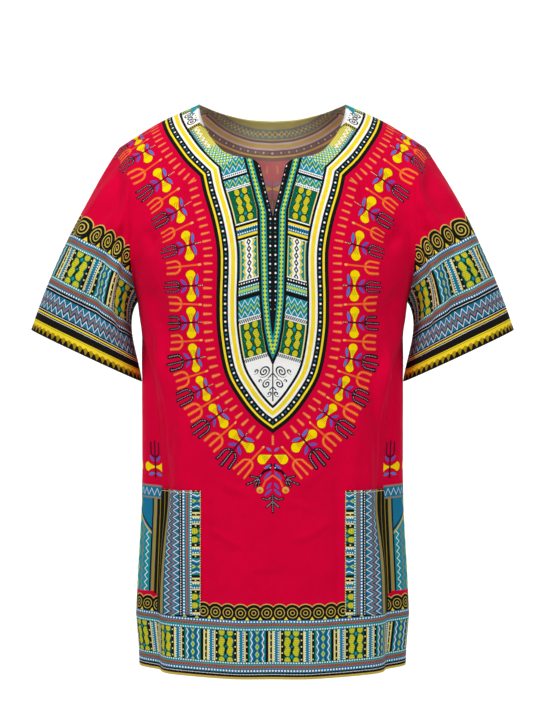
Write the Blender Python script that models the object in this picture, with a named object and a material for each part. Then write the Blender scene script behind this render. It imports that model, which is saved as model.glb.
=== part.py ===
import bpy
import numpy as np

for old in list(bpy.data.objects):
    bpy.data.objects.remove(old, do_unlink=True)

# Sizes in metres. Z is up, the front faces -Y and z = 0 is the high point of the shoulders.
HEM = -0.765
HEM_RISE = 0.007
CHEST = -0.270
WALL = 0.0013
HALF_SEAM_GAP = 0.00015
POCKET_LIFT = 0.0003

# Rows of points: hem to pocket, pocket, pocket to chest, chest to shoulder.
POCKET_BOTTOM = -0.683
POCKET_TOP = -0.520
ROWS_BELOW = 3
ROWS_POCKET = 6
ROWS_ABOVE = 9
ROWS_LOW = ROWS_BELOW + ROWS_POCKET + ROWS_ABOVE
ROWS_UP = 13
SLIT_ROW = 8
SLIT_BOTTOM = -0.1620

# Columns of points on half a panel: centre to pocket edge, pocket edge to side.
POCKET_EDGE = 0.094
COLS_IN = 8
COLS = 16
COLS_NECK = 10

# Body sections: height, half width, front depth, back depth, x of the side seam on the front.
SECTIONS = np.array([
    (-0.790, 0.1770, 0.132, 0.134, 0.158),
    (-0.740, 0.1790, 0.131, 0.132, 0.158),
    (-0.690, 0.1830, 0.130, 0.129, 0.160),
    (-0.630, 0.1800, 0.129, 0.126, 0.158),
    (-0.550, 0.1750, 0.128, 0.121, 0.155),
    (-0.500, 0.1740, 0.128, 0.118, 0.154),
    (-0.430, 0.1735, 0.129, 0.117, 0.158),
    (-0.373, 0.1730, 0.130, 0.119, 0.166),
    (-0.320, 0.1770, 0.131, 0.123, 0.176),
    (-0.270, 0.1830, 0.130, 0.127, 0.183),
])
ROUNDNESS = 2.5

# Half of the neckline, from the top of the slit to the shoulder seam.
NECKLINE = [
    (0.0165, -0.100, -0.0930),
    (0.0250, -0.098, -0.0855),
    (0.0400, -0.092, -0.0820),
    (0.0560, -0.083, -0.0775),
    (0.0690, -0.070, -0.0690),
    (0.0860, -0.042, -0.0460),
    (0.0960, -0.014, -0.0230),
    (0.1000, 0.016, 0.0000),
]
BACK_NECKLINE = [
    (0.0000, 0.084, -0.0160),
    (0.0350, 0.080, -0.0140),
    (0.0680, 0.064, -0.0080),
    (0.0900, 0.042, -0.0020),
    (0.1000, 0.016, 0.0000),
]
SHOULDER = [
    (0.1000, 0.016, 0.0000),
    (0.1500, 0.014, -0.0230),
    (0.1850, 0.012, -0.0440),
    (0.2090, 0.010, -0.0600),
]
ARMHOLE_FRONT = [
    (0.1830, 0.000, -0.2700),
    (0.1865, -0.036, -0.2480),
    (0.1900, -0.060, -0.2100),
    (0.1905, -0.067, -0.1550),
    (0.1905, -0.057, -0.1060),
    (0.1950, -0.032, -0.0770),
    (0.2090, 0.010, -0.0600),
]
ARMHOLE_BACK = [
    (0.1830, 0.000, -0.2700),
    (0.1860, 0.038, -0.2500),
    (0.1890, 0.066, -0.2080),
    (0.1890, 0.078, -0.1550),
    (0.1895, 0.072, -0.1080),
    (0.1950, 0.050, -0.0760),
    (0.2090, 0.010, -0.0600),
]

# Sleeve: the cuff is an oval between its inner and outer corner.
CUFF_OUT = (0.3270, -0.3085)
CUFF_IN = (0.1770, -0.3785)
CUFF_HALF_DEPTH = 0.053
CUFF_Y = -0.010
SLEEVE_ROWS = 12


def along(points, count):
    """Evenly spaced points on a smooth curve through the given points."""
    points = np.array(points, float)
    ends = [2 * points[0] - points[1], 2 * points[-1] - points[-2]]
    p = np.vstack([ends[0], points, ends[1]])
    curve = []
    for i in range(1, len(p) - 2):
        t = np.linspace(0, 1, 41)[:-1, None]
        curve.append(0.5 * (2 * p[i] + (p[i + 1] - p[i - 1]) * t
                            + (2 * p[i - 1] - 5 * p[i] + 4 * p[i + 1] - p[i + 2]) * t ** 2
                            + (3 * p[i] - p[i - 1] - 3 * p[i + 1] + p[i + 2]) * t ** 3))
    curve = np.vstack(curve + [points[-1:]])
    run = np.concatenate([[0], np.cumsum(np.linalg.norm(np.diff(curve, axis=0), axis=1))])
    want = np.linspace(0, run[-1], count)
    return np.stack([np.interp(want, run, curve[:, k]) for k in range(3)], axis=1)


def bump(x, middle, width):
    """Rounded bump of height one."""
    return np.exp(-((x - middle) / width) ** 2)


def ramp(x, low, high):
    """Smooth step from nought at low to one at high."""
    t = np.clip((x - low) / (high - low), 0, 1)
    return t * t * (3 - 2 * t)


def section(z):
    """Half outline at height z, from centre front round to centre back, with the run along it
    and the runs at which the pocket edge and the side seam lie."""
    half, front, back, seam = [np.interp(z, SECTIONS[:, 0], SECTIONS[:, k]) for k in range(1, 5)]
    a = np.linspace(0, np.pi, 721)
    x = half * np.abs(np.sin(a)) ** (2 / ROUNDNESS)
    y = -np.sign(np.cos(a)) * np.abs(np.cos(a)) ** (2 / ROUNDNESS)
    y = np.where(y < 0, y * front, y * back)
    run = np.concatenate([[0], np.cumsum(np.hypot(np.diff(x), np.diff(y)))])
    front_side = a <= np.pi / 2
    at_seam = np.interp(min(seam, half), x[front_side], run[front_side])
    at_pocket = np.interp(POCKET_EDGE, x[front_side], run[front_side])
    # Largest folds: a groove along each side seam, soft ones on the front and the back.
    nx = np.gradient(y, run)
    ny = -np.gradient(x, run)
    deep = ramp(-z, 0.29, 0.38)
    out = -0.010 * deep * bump(run, at_seam + 0.002, 0.018)
    out = out + 0.005 * deep * bump(run, at_seam - 0.034, 0.022)
    out = out + 0.004 * deep * bump(run, at_seam + 0.038, 0.026)
    back_run = run[-1] - run
    out = out + 0.006 * deep * bump(back_run, 0.105, 0.034)
    out = out - 0.005 * deep * bump(back_run, 0.050, 0.030)
    out = out + 0.003 * deep * bump(back_run, 0.0, 0.030)
    # Outward is right-handed from the run of the outline.
    return x + nx * out, y + ny * out, run, at_pocket, at_seam


def low_half(zs, back):
    """Grid of points below the chest: rows by height, columns from the centre to the side."""
    rows = []
    for z in zs:
        x, y, run, at_pocket, at_seam = section(z)
        if back:
            want = run[-1] - np.linspace(0, run[-1] - at_seam, COLS + 1)
        else:
            want = np.concatenate([np.linspace(0, at_pocket, COLS_IN + 1),
                                   np.linspace(at_pocket, at_seam, COLS - COLS_IN + 1)[1:]])
        across = np.interp(want, run, x)
        rise = HEM_RISE * ramp(-z, -POCKET_BOTTOM, -HEM) * (across / x.max()) ** 2
        rows.append(np.stack([across, np.interp(want, run, y), z + rise], axis=1))
    return np.array(rows)


def up_half(chest, neckline, armhole, lean):
    """Grid of points above the chest: each column bends from the chest row to the top edge, and
    the outer ones are drawn to the armhole."""
    top = np.vstack([along(neckline, COLS_NECK + 1), along(SHOULDER, COLS - COLS_NECK + 1)[1:]])
    across = np.arange(COLS + 1) / COLS
    t = (np.arange(ROWS_UP + 1) / ROWS_UP)[:, None, None]
    span = np.linalg.norm(top - chest, axis=1)[:, None]
    back = ramp(across, 0.0, 0.62)[:, None]
    at_top = np.concatenate([np.zeros((COLS + 1, 1)), lean * (0.50 + 0.47 * back),
                             0.86 - 0.69 * back], axis=1) * span * 0.85
    at_chest = np.concatenate([np.zeros((COLS + 1, 2)), np.ones((COLS + 1, 1))], axis=1) * span
    grid = ((2 * t ** 3 - 3 * t ** 2 + 1) * chest + (t ** 3 - 2 * t ** 2 + t) * at_chest
            + (-2 * t ** 3 + 3 * t ** 2) * top + (t ** 3 - t ** 2) * at_top)
    edge = along(armhole, ROWS_UP + 1)
    pull = (across ** 5)[None, :, None]
    grid = grid + pull * (edge - grid[:, -1])[:, None, :]
    return grid


def front_half():
    zs = heights()
    low = low_half(zs, False)
    up = up_half(low[-1], NECKLINE, ARMHOLE_FRONT, 1)
    rows = np.arange(ROWS_UP + 1)
    corner = NECKLINE[0]
    opening = np.interp(rows, [0, SLIT_ROW, ROWS_UP], [0, 0, corner[0]])
    level = np.interp(rows, [0, SLIT_ROW, ROWS_UP], [CHEST, SLIT_BOTTOM, corner[2]])
    near = (1 - np.arange(COLS + 1) / COLS) ** 4
    up[:, :, 0] += near[None, :] * (opening - up[:, 0, 0])[:, None]
    up[:, :, 2] += near[None, :] * (level - up[:, 0, 2])[:, None]
    return np.concatenate([low, up[1:]])


def back_half():
    low = low_half(heights(), True)
    up = up_half(low[-1], BACK_NECKLINE, ARMHOLE_BACK, -1)
    up[:, 0, 0] = 0
    return np.concatenate([low, up[1:]])


def heights():
    return np.concatenate([np.linspace(HEM, POCKET_BOTTOM, ROWS_BELOW + 1),
                           np.linspace(POCKET_BOTTOM, POCKET_TOP, ROWS_POCKET + 1)[1:],
                           np.linspace(POCKET_TOP, CHEST, ROWS_ABOVE + 1)[1:]])


def sleeve_grid(front, back):
    """Rows along the sleeve of points round it, from the underarm by the front and the top."""
    loop = np.concatenate([front[ROWS_LOW:, -1], back[ROWS_LOW:, -1][::-1][1:-1]])
    n = len(loop)
    a = np.arange(n) / n * 2 * np.pi
    inner = np.array([CUFF_IN[0], CUFF_Y, CUFF_IN[1]])
    outer = np.array([CUFF_OUT[0], CUFF_Y, CUFF_OUT[1]])
    middle = (inner + outer) / 2
    cuff = middle - (outer - middle) * np.cos(a)[:, None]
    cuff[:, 1] -= CUFF_HALF_DEPTH * np.sin(a)
    high = (0.5 - 0.5 * np.cos(a))[:, None]
    start = (1 - high) * np.array([0.55, 0.0, -0.83]) + high * np.array([0.56, 0.0, -0.83])
    start[:, 1] -= 0.22 * np.sin(a)
    finish = (1 - high) * np.array([-0.12, 0.0, -0.99]) + high * np.array([0.31, 0.0, -0.95])
    length = np.linalg.norm(cuff - loop, axis=1)[:, None]
    t = (np.arange(SLEEVE_ROWS + 1) / SLEEVE_ROWS)[:, None, None]
    grid = ((2 * t ** 3 - 3 * t ** 2 + 1) * loop + (t ** 3 - 2 * t ** 2 + t) * start * length
            + (-2 * t ** 3 + 3 * t ** 2) * cuff + (t ** 3 - t ** 2) * finish * length)
    # Folds hanging from the shoulder, a deeper one down the front.
    centre = grid.mean(axis=1, keepdims=True)
    out = grid - centre
    out = out / np.linalg.norm(out, axis=2, keepdims=True)
    t = t[:, :, 0]
    swell = ramp(t, 0.08, 0.35) * (1 - 0.75 * ramp(t, 0.6, 1.0))
    fold = -0.007 * bump(a[None, :], 1.75, 0.22) + 0.004 * bump(a[None, :], 1.25, 0.25)
    fold = fold + 0.004 * bump(a[None, :], 2.25, 0.25) - 0.006 * bump(a[None, :], 4.55, 0.25)
    fold = fold + 0.004 * bump(a[None, :], 4.05, 0.25)
    return grid + out * (swell * fold)[:, :, None]


def normals(points, faces):
    total = np.zeros_like(points)
    for face in faces:
        p = points[list(face)]
        n = np.zeros(3)
        for k in range(1, len(p) - 1):
            n = n + np.cross(p[k] - p[0], p[k + 1] - p[0])
        n = n / np.linalg.norm(n)
        for k in face:
            total[k] += n
    return total / np.linalg.norm(total, axis=1, keepdims=True)


def panel(half, slit):
    """Both halves of a panel as points and faces that look outward, joined on the centre line
    except along a slit, with the direction in which each edge point moves off its seam."""
    rows, cols = half.shape[:2]
    points = []
    index = {}
    inward = []
    for side in (1, -1):
        for r in range(rows):
            for c in range(cols):
                joined = c == 0 and not (slit and r > ROWS_LOW + SLIT_ROW)
                if joined and side == -1:
                    index[side, r, c] = index[1, r, c]
                    continue
                index[side, r, c] = len(points)
                p = half[r, c].copy()
                away = np.zeros(3)
                if c == cols - 1:
                    away = away + unit(half[r, c - 1] - half[r, c])
                if r == rows - 1 and c >= COLS_NECK:
                    away = away + unit(half[r - 1, c] - half[r, c])
                flip = np.array([side, 1, 1])
                if c == 0:
                    p[0] = p[0] if not joined else 0
                points.append(p * flip)
                inward.append(away * flip)
    faces = []
    for side in (1, -1):
        for r in range(rows - 1):
            for c in range(cols - 1):
                quad = (index[side, r, c], index[side, r, c + 1],
                        index[side, r + 1, c + 1], index[side, r + 1, c])
                faces.append(quad if side == 1 else quad[::-1])
    return np.array(points), faces, np.array(inward), index


def unit(v):
    return v / np.linalg.norm(v)


def tube(grid, side):
    rows, n = grid.shape[:2]
    flip = np.array([side, 1, 1])
    points = (grid * flip).reshape(-1, 3)
    inward = np.zeros_like(grid)
    inward[0] = grid[1] - grid[0]
    inward[0] /= np.linalg.norm(inward[0], axis=1, keepdims=True)
    inward = (inward * flip).reshape(-1, 3)
    faces = []
    for r in range(rows - 1):
        for c in range(n):
            d = (c + 1) % n
            quad = (r * n + c, (r + 1) * n + c, (r + 1) * n + d, r * n + d)
            faces.append(quad if side == 1 else quad[::-1])
    return points, faces, inward


def solid(name, outer, inner, faces, colour):
    """Closed wall between an outer and an inner sheet with the same faces."""
    n = len(outer)
    walls = [tuple(f) for f in faces] + [tuple(k + n for k in f[::-1]) for f in faces]
    seen = {}
    for f in faces:
        for k in range(len(f)):
            a, b = f[k], f[(k + 1) % len(f)]
            seen[a, b] = True
    points = np.vstack([outer, inner])
    for a, b in list(seen):
        if (b, a) in seen:
            continue
        # The shorter diagonal is the same one on both pieces of a seam.
        if np.linalg.norm(points[b] - points[a + n]) < np.linalg.norm(points[a] - points[b + n]):
            walls += [(b, a, a + n), (b, a + n, b + n)]
        else:
            walls += [(b, a, b + n), (a, a + n, b + n)]
    mesh = bpy.data.meshes.new(name)
    mesh.from_pydata([tuple(p) for p in points], [], walls)
    mesh.update()
    item = bpy.data.objects.new(name, mesh)
    bpy.context.collection.objects.link(item)
    material = bpy.data.materials.new(name + "_cloth")
    material.use_nodes = True
    shader = material.node_tree.nodes["Principled BSDF"]
    shader.inputs["Base Color"].default_value = colour
    shader.inputs["Roughness"].default_value = 0.85
    mesh.materials.append(material)
    return item


front = front_half()
back = back_half()
sleeve = sleeve_grid(front, back)

pieces = {}
front_points, front_faces, front_in, front_index = panel(front, True)
back_points, back_faces, back_in, back_index = panel(back, False)
back_faces = [f[::-1] for f in back_faces]
pieces["front"] = [front_points, front_faces, front_in]
pieces["back"] = [back_points, back_faces, back_in]
pieces["sleeve_right"] = list(tube(sleeve, 1))
pieces["sleeve_left"] = list(tube(sleeve, -1))

# Pieces that meet share the direction of their edge, mitred where they meet at an angle.
own = {name: normals(p[0], p[1]) for name, p in pieces.items()}
shared = {}
for name, (points, faces, inward) in pieces.items():
    for k, p in enumerate(points):
        key = tuple(np.round(p * 1e6).astype(int))
        shared.setdefault(key, []).append(own[name][k])

CRIMSON = (0.62, 0.002, 0.045, 1)
sheets = {}
for name, (points, faces, inward) in pieces.items():
    outward = np.zeros_like(points)
    off = np.zeros(len(points))
    for k, p in enumerate(points):
        key = tuple(np.round(p * 1e6).astype(int))
        both = unit(sum(shared[key]))
        blunt = ramp(min(float(both @ n) for n in shared[key]), 0.62, 0.88)
        both = unit(blunt * both + (1 - blunt) * own[name][k])
        lean = float(both @ own[name][k])
        outward[k] = both / lean
        off[k] = HALF_SEAM_GAP / lean
    size = np.linalg.norm(inward, axis=1, keepdims=True)
    step = np.where(size > 0, inward / np.maximum(size, 1e-9), 0)
    outer = points + step * off[:, None]
    sheets[name] = (outer, outward)
    solid(name, outer, outer - outward * WALL, faces, CRIMSON)

# The pockets lie on the front, from its own points, and stop just short of the side seam.
outer, outward = sheets["front"]
for name, side in (("pocket_right", 1), ("pocket_left", -1)):
    rows = range(ROWS_BELOW, ROWS_BELOW + ROWS_POCKET + 1)
    cols = range(COLS_IN, COLS + 1)
    order = [front_index[side, r, c] for r in rows for c in cols]
    n = len(cols)
    under = outer[order] + outward[order] * POCKET_LIFT
    over = under + outward[order] * WALL
    faces = []
    for r in range(len(rows) - 1):
        for c in range(n - 1):
            quad = (r * n + c, r * n + c + 1, (r + 1) * n + c + 1, (r + 1) * n + c)
            faces.append(quad if side == 1 else quad[::-1])
    solid(name, over, under, faces, (0.05, 0.25, 0.35, 1))
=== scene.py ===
import bpy
import numpy as np
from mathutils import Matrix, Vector


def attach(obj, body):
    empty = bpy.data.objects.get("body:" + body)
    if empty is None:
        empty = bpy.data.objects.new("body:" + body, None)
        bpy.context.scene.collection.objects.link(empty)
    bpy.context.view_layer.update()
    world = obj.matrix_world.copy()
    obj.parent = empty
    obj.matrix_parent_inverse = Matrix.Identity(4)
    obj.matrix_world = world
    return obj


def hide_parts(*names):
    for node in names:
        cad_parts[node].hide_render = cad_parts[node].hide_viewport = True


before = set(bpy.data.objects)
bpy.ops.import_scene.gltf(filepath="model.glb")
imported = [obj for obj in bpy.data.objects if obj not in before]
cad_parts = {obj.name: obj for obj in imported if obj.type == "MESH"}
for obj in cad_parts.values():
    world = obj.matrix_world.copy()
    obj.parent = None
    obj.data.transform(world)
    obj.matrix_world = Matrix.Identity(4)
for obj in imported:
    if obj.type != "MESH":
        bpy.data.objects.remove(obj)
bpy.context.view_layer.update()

# Body of the shirt: a front and a back of printed cotton, each cut in one from hem to shoulder.
# They hang from the shoulder seams over a hollow body form, and every row of the front runs
# from the centre line or the slit to the side seam or the armhole.
# in metres, with heights counted from the top of the shoulders
HEM, CHEST, HEM_RISE = -0.765, -0.270, 0.007
POCKET_BOTTOM, POCKET_TOP = -0.683, -0.520
POCKET_EDGE = 0.094
SLIT_BOTTOM = -0.1620
# exponent of the rounded outline, where 2 would be an ellipse
ROUNDNESS = 2.5

# height, half width, front depth, back depth, x of the side seam on the front
SECTIONS = np.array([
    (-0.790, 0.1770, 0.132, 0.134, 0.158),
    (-0.740, 0.1790, 0.131, 0.132, 0.158),
    (-0.690, 0.1830, 0.130, 0.129, 0.160),
    (-0.630, 0.1800, 0.129, 0.126, 0.158),
    (-0.550, 0.1750, 0.128, 0.121, 0.155),
    (-0.500, 0.1740, 0.128, 0.118, 0.154),
    (-0.430, 0.1735, 0.129, 0.117, 0.158),
    (-0.373, 0.1730, 0.130, 0.119, 0.166),
    (-0.320, 0.1770, 0.131, 0.123, 0.176),
    (-0.270, 0.1830, 0.130, 0.127, 0.183),
])
# x, y and z along the edges of the right half
NECKLINE = [
    (0.0165, -0.100, -0.0930), (0.0250, -0.098, -0.0855), (0.0400, -0.092, -0.0820),
    (0.0560, -0.083, -0.0775), (0.0690, -0.070, -0.0690), (0.0860, -0.042, -0.0460),
    (0.0960, -0.014, -0.0230), (0.1000, 0.016, 0.0000),
]
BACK_NECKLINE = [
    (0.0000, 0.084, -0.0160), (0.0350, 0.080, -0.0140), (0.0680, 0.064, -0.0080),
    (0.0900, 0.042, -0.0020), (0.1000, 0.016, 0.0000),
]
SHOULDER = [
    (0.1000, 0.016, 0.0000), (0.1500, 0.014, -0.0230), (0.1850, 0.012, -0.0440),
    (0.2090, 0.010, -0.0600),
]
ARMHOLE_FRONT = [
    (0.1830, 0.000, -0.2700), (0.1865, -0.036, -0.2480), (0.1900, -0.060, -0.2100),
    (0.1905, -0.067, -0.1550), (0.1905, -0.057, -0.1060), (0.1950, -0.032, -0.0770),
    (0.2090, 0.010, -0.0600),
]
ARMHOLE_BACK = [
    (0.1830, 0.000, -0.2700), (0.1860, 0.038, -0.2500), (0.1890, 0.066, -0.2080),
    (0.1890, 0.078, -0.1550), (0.1895, 0.072, -0.1080), (0.1950, 0.050, -0.0760),
    (0.2090, 0.010, -0.0600),
]

# The columns count 0 at the centre, 8 at the pocket edge, 10 at the neck point and 16 at the
# side. The upper rows count 0 at the chest, 8 at the foot of the slit and 13 at the top. Each
# of them is divided again, and the rows from the hem to the chest have a number of their own.
COLS, COLS_IN, COLS_NECK = 16, 8, 10
ROWS_UP, SLIT_ROW = 13, 8
FINE_COL, FINE_UP, FINE_LOW = 5, 6, 150


def through(points, share):
    """Points at the given shares of the length of a smooth curve through the points."""
    p = np.array(points, float)
    p = np.vstack([2 * p[0] - p[1], p, 2 * p[-1] - p[-2]])
    t = np.linspace(0, 1, 40, endpoint=False)[None, :, None]
    a, b, c, d = [p[k:len(p) - 3 + k, None, :] for k in range(4)]
    curve = 0.5 * (2 * b + (c - a) * t + (2 * a - 5 * b + 4 * c - d) * t ** 2
                   + (3 * b - a - 3 * c + d) * t ** 3)
    curve = np.vstack([curve.reshape(-1, p.shape[1]), p[-2:-1]])
    run = np.concatenate([[0], np.cumsum(np.linalg.norm(np.diff(curve, axis=0), axis=1))])
    return np.stack([np.interp(np.asarray(share) * run[-1], run, curve[:, k])
                     for k in range(p.shape[1])], axis=-1)


def bump(x, middle, width):
    """Rounded bump of height one: e to the minus square of the distance over the width."""
    return np.exp(-((x - middle) / width) ** 2)


def ramp(x, low, high):
    """Smooth step from nought at low to one at high."""
    t = np.clip((x - low) / (high - low), 0, 1)
    return t * t * (3 - 2 * t)


def hermite(t, start, start_slope, end, end_slope):
    """Cubic curves from starts to ends that leave and arrive at the given slopes."""
    return ((2 * t ** 3 - 3 * t ** 2 + 1) * start + (t ** 3 - 2 * t ** 2 + t) * start_slope
            + (-2 * t ** 3 + 3 * t ** 2) * end + (t ** 3 - t ** 2) * end_slope)


def outline(z):
    """Half outline at height z, from centre front round to centre back: a superellipse of the
    row's half width and depths, moved out along its normal by the hanging folds."""
    half, front, back, seam = [np.interp(z, SECTIONS[:, 0], SECTIONS[:, k]) for k in range(1, 5)]
    a = np.linspace(0, np.pi, 721)
    x = half * np.abs(np.sin(a)) ** (2 / ROUNDNESS)
    y = -np.sign(np.cos(a)) * np.abs(np.cos(a)) ** (2 / ROUNDNESS)
    y = np.where(y < 0, y * front, y * back)
    run = np.concatenate([[0], np.cumsum(np.hypot(np.diff(x), np.diff(y)))])
    ahead = a <= np.pi / 2
    at_seam = np.interp(min(seam, half), x[ahead], run[ahead])
    at_pocket = np.interp(POCKET_EDGE, x[ahead], run[ahead])
    deep = ramp(-z, 0.29, 0.38)
    back_run = run[-1] - run
    out = -0.010 * bump(run, at_seam + 0.002, 0.018) + 0.005 * bump(run, at_seam - 0.034, 0.022)
    out = out + 0.004 * bump(run, at_seam + 0.038, 0.026) + 0.006 * bump(back_run, 0.105, 0.034)
    out = deep * (out - 0.005 * bump(back_run, 0.050, 0.030) + 0.003 * bump(back_run, 0, 0.030))
    return (x + np.gradient(y, run) * out, y - np.gradient(x, run) * out, run, at_pocket,
            at_seam)


def below_chest(col, back, heights=np.linspace(HEM, CHEST, FINE_LOW + 1)):
    """Rows at the given heights of points at the given columns, evenly spaced along the outline
    between the centre, the pocket edge and the side seam."""
    rows = []
    for z in heights:
        x, y, run, at_pocket, at_seam = outline(z)
        if back:
            want = run[-1] - (run[-1] - at_seam) * col / COLS
        else:
            want = np.interp(col, [0, COLS_IN, COLS], [0, at_pocket, at_seam])
        across = np.interp(want, run, x)
        rise = HEM_RISE * ramp(-z, -POCKET_BOTTOM, -HEM) * (across / x.max()) ** 2
        rows.append(np.stack([across, np.interp(want, run, y), z + rise], axis=1))
    return np.array(rows)


def above_chest(chest, col, neckline, armhole, lean):
    """Rows from chest to top edge: each column is a Hermite curve that leaves the chest upright
    and leans over to the shoulder, and the outer columns are drawn to the armhole."""
    top = np.vstack([through(neckline, col[col <= COLS_NECK] / COLS_NECK),
                     through(SHOULDER, (col[col > COLS_NECK] - COLS_NECK) / (COLS - COLS_NECK))])
    share = (col / COLS)[:, None]
    t = np.linspace(0, 1, ROWS_UP * FINE_UP + 1)
    span = np.linalg.norm(top - chest, axis=1)[:, None]
    back = ramp(share, 0.0, 0.62)
    at_top = np.hstack([0 * back, lean * (0.50 + 0.47 * back), 0.86 - 0.69 * back]) * span * 0.85
    at_chest = np.array([0, 0, 1.0]) * span
    grid = hermite(t[:, None, None], chest, at_chest, top, at_top)
    edge = through(armhole, t)
    return grid + (share ** 5)[None] * (edge - grid[:, -1])[:, None, :]


def front_half(col):
    """Right half of the front, with the slit opened out of the centre line."""
    low = below_chest(col, False)
    up = above_chest(low[-1], col, NECKLINE, ARMHOLE_FRONT, 1)
    rows = np.linspace(0, ROWS_UP, ROWS_UP * FINE_UP + 1)
    corner = NECKLINE[0]
    opening = np.interp(rows, [0, SLIT_ROW, ROWS_UP], [0, 0, corner[0]])
    level = np.interp(rows, [0, SLIT_ROW, ROWS_UP], [CHEST, SLIT_BOTTOM, corner[2]])
    near = (1 - col / COLS) ** 4
    up[:, :, 0] += near * (opening - up[:, 0, 0])[:, None]
    up[:, :, 2] += near * (level - up[:, 0, 2])[:, None]
    return np.concatenate([low, up[1:]])


def back_half(col):
    """Right half of the back."""
    low = below_chest(col, True)
    up = above_chest(low[-1], col, BACK_NECKLINE, ARMHOLE_BACK, -1)
    up[:, 0, 0] = 0
    return np.concatenate([low, up[1:]])


def runs(half):
    """Cloth coordinates of a half panel: across from the centre line or slit, up from the hem."""
    across = np.linalg.norm(np.diff(half, axis=1), axis=2)
    up = np.linalg.norm(np.diff(half, axis=0), axis=2)
    u = np.hstack([np.zeros((len(half), 1)), np.cumsum(across, axis=1)])
    v = np.vstack([np.zeros((1, half.shape[1])), np.cumsum(up, axis=0)])
    return u, v




# Printed yoke and its ring of flowers: one screen-printed motif on the front, whose edge runs
# from the point below the slit up to the shoulders and on around the back of the neck.
# x and z of the printed edge, in metres: up the side to the corner, then over the shoulder
YOKE_SIDE = [(0.0000, -0.4414), (0.0212, -0.4248), (0.0414, -0.4000), (0.0600, -0.3660),
             (0.0695, -0.3154), (0.0710, -0.2711), (0.0700, -0.2332), (0.0708, -0.2017),
             (0.0775, -0.1660), (0.0885, -0.1283), (0.0935, -0.1059)]
YOKE_COLLAR = [(0.0935, -0.1059), (0.1150, -0.0837), (0.1330, -0.0577), (0.1430, -0.0400),
               (0.1490, -0.0225)]
RING = [(0.0000, -0.4810), (0.0420, -0.4548), (0.0721, -0.4210), (0.0911, -0.3872),
        (0.1030, -0.3480), (0.1069, -0.3009), (0.1069, -0.2525), (0.1110, -0.1999),
        (0.1262, -0.1502), (0.1470, -0.1102), (0.1732, -0.0701), (0.1870, -0.0450)]
# on the back: depths below the neckline, the columns from the neck point to where each meets
# the shoulder seam, and the spacing of the flowers
BACK_YOKE_DEPTH, BACK_RING_DEPTH = 0.056, 0.098
SEAM_SHARE_YOKE, SEAM_SHARE_RING = 2.45, 4.75
FLOWER_SPACING = 0.046


def on_front(half, xz):
    """The points of a half panel that lie nearest to each x and z of a curve."""
    flat = half.reshape(-1, 3)
    near = ((flat[None, :, 0] - xz[:, None, 0]) ** 2 + (flat[None, :, 2] - xz[:, None, 1]) ** 2)
    y = flat[near.argmin(axis=1), 1]
    return np.stack([xz[:, 0], np.convolve(np.pad(y, 4, "edge"), np.ones(9) / 9, "valid"),
                     xz[:, 1]], axis=1)


def round_back(half, depth, seam_share):
    """A curve on the back at a depth below the neckline, from the shoulder seam, which it meets
    seam_share columns out from the neck point, to the centre."""
    up = np.cumsum(np.linalg.norm(np.diff(half[::-1], axis=0), axis=2), axis=0)
    up = np.vstack([np.zeros((1, up.shape[1])), up])
    points = []
    for c in np.arange(int((COLS_NECK + seam_share) * FINE_COL), -1, -1):
        beyond = max(c / FINE_COL - COLS_NECK, 0) / seam_share
        down = depth * np.sqrt(1 - beyond ** 2)
        points.append([np.interp(down, up[:, c], half[::-1][:, c, k]) for k in range(3)])
    return np.array(points)


def spaced(curve, step=0.0015):
    """Points at even steps along a curve, and the run to each."""
    run = np.concatenate([[0], np.cumsum(np.linalg.norm(np.diff(curve, axis=0), axis=1))])
    want = np.linspace(0, run[-1], int(run[-1] / step) + 2)
    return np.stack([np.interp(want, run, curve[:, k]) for k in range(3)], axis=1), want


def beside(points, curve, run, toward):
    """Distance of each point from a curve, counted positive on the side that faces toward, and
    the run of the nearest place on it."""
    gap = np.linalg.norm(points[:, None, :] - curve[None], axis=2)
    near = gap.argmin(axis=1)
    tangent = np.gradient(curve, axis=0)
    side = toward - curve
    side = side - tangent * (np.sum(side * tangent, axis=1)
                             / np.sum(tangent ** 2, axis=1))[:, None]
    sign = np.sign(np.sum((points - curve[near]) * side[near], axis=1))
    along = np.sum((points - curve[near]) * tangent[near], axis=1)
    along = along / np.linalg.norm(tangent[near], axis=1)
    off = np.sqrt(np.maximum(gap[np.arange(len(points)), near] ** 2 - along ** 2, 0))
    return sign * off, run[near] + along


col = np.linspace(0, COLS, COLS * FINE_COL + 1)
front = front_half(col)
back = back_half(col)

# The sides of the yoke and its collar part are carried on past the corner, so that their
# bands meet there in a mitre.
side_curve = on_front(front, through(YOKE_SIDE, np.linspace(0, 1, 200)))
lift = side_curve[-1] - side_curve[-6]
side_curve = np.vstack([side_curve, side_curve[-1] + lift / np.linalg.norm(lift)
                        * np.linspace(0.002, 0.05, 24)[:, None]])
collar_curve = on_front(front, through(YOKE_COLLAR, np.linspace(0, 1, 80)))
collar_curve = np.vstack([collar_curve, round_back(back, BACK_YOKE_DEPTH, SEAM_SHARE_YOKE)])
drop = collar_curve[0] - collar_curve[6]
collar_curve = np.vstack([collar_curve[0] + drop / np.linalg.norm(drop)
                          * np.linspace(0.05, 0.002, 24)[:, None], collar_curve])
ring_curve = on_front(front, through(RING, np.linspace(0, 1, 400)))
ring_curve = np.vstack([ring_curve, round_back(back, BACK_RING_DEPTH, SEAM_SHARE_RING)])
side_curve, side_run = spaced(side_curve)
collar_curve, collar_run = spaced(collar_curve)
ring_curve, ring_run = spaced(ring_curve)

# Flowers are counted along the ring: nought at the front centre, whole at each flower.
knots = np.array([ring_run[np.argmin((ring_curve[:, 0] - x) ** 2 + (ring_curve[:, 2] - z) ** 2
                                     + (ring_curve[:, 1] > 0.005) * 9.0)] for x, z in RING[:-1]])
rest = int(round((ring_run[-1] - knots[-1]) / FLOWER_SPACING))
knots = np.concatenate([knots, np.linspace(knots[-1], ring_run[-1], rest + 1)[1:]])


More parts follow.
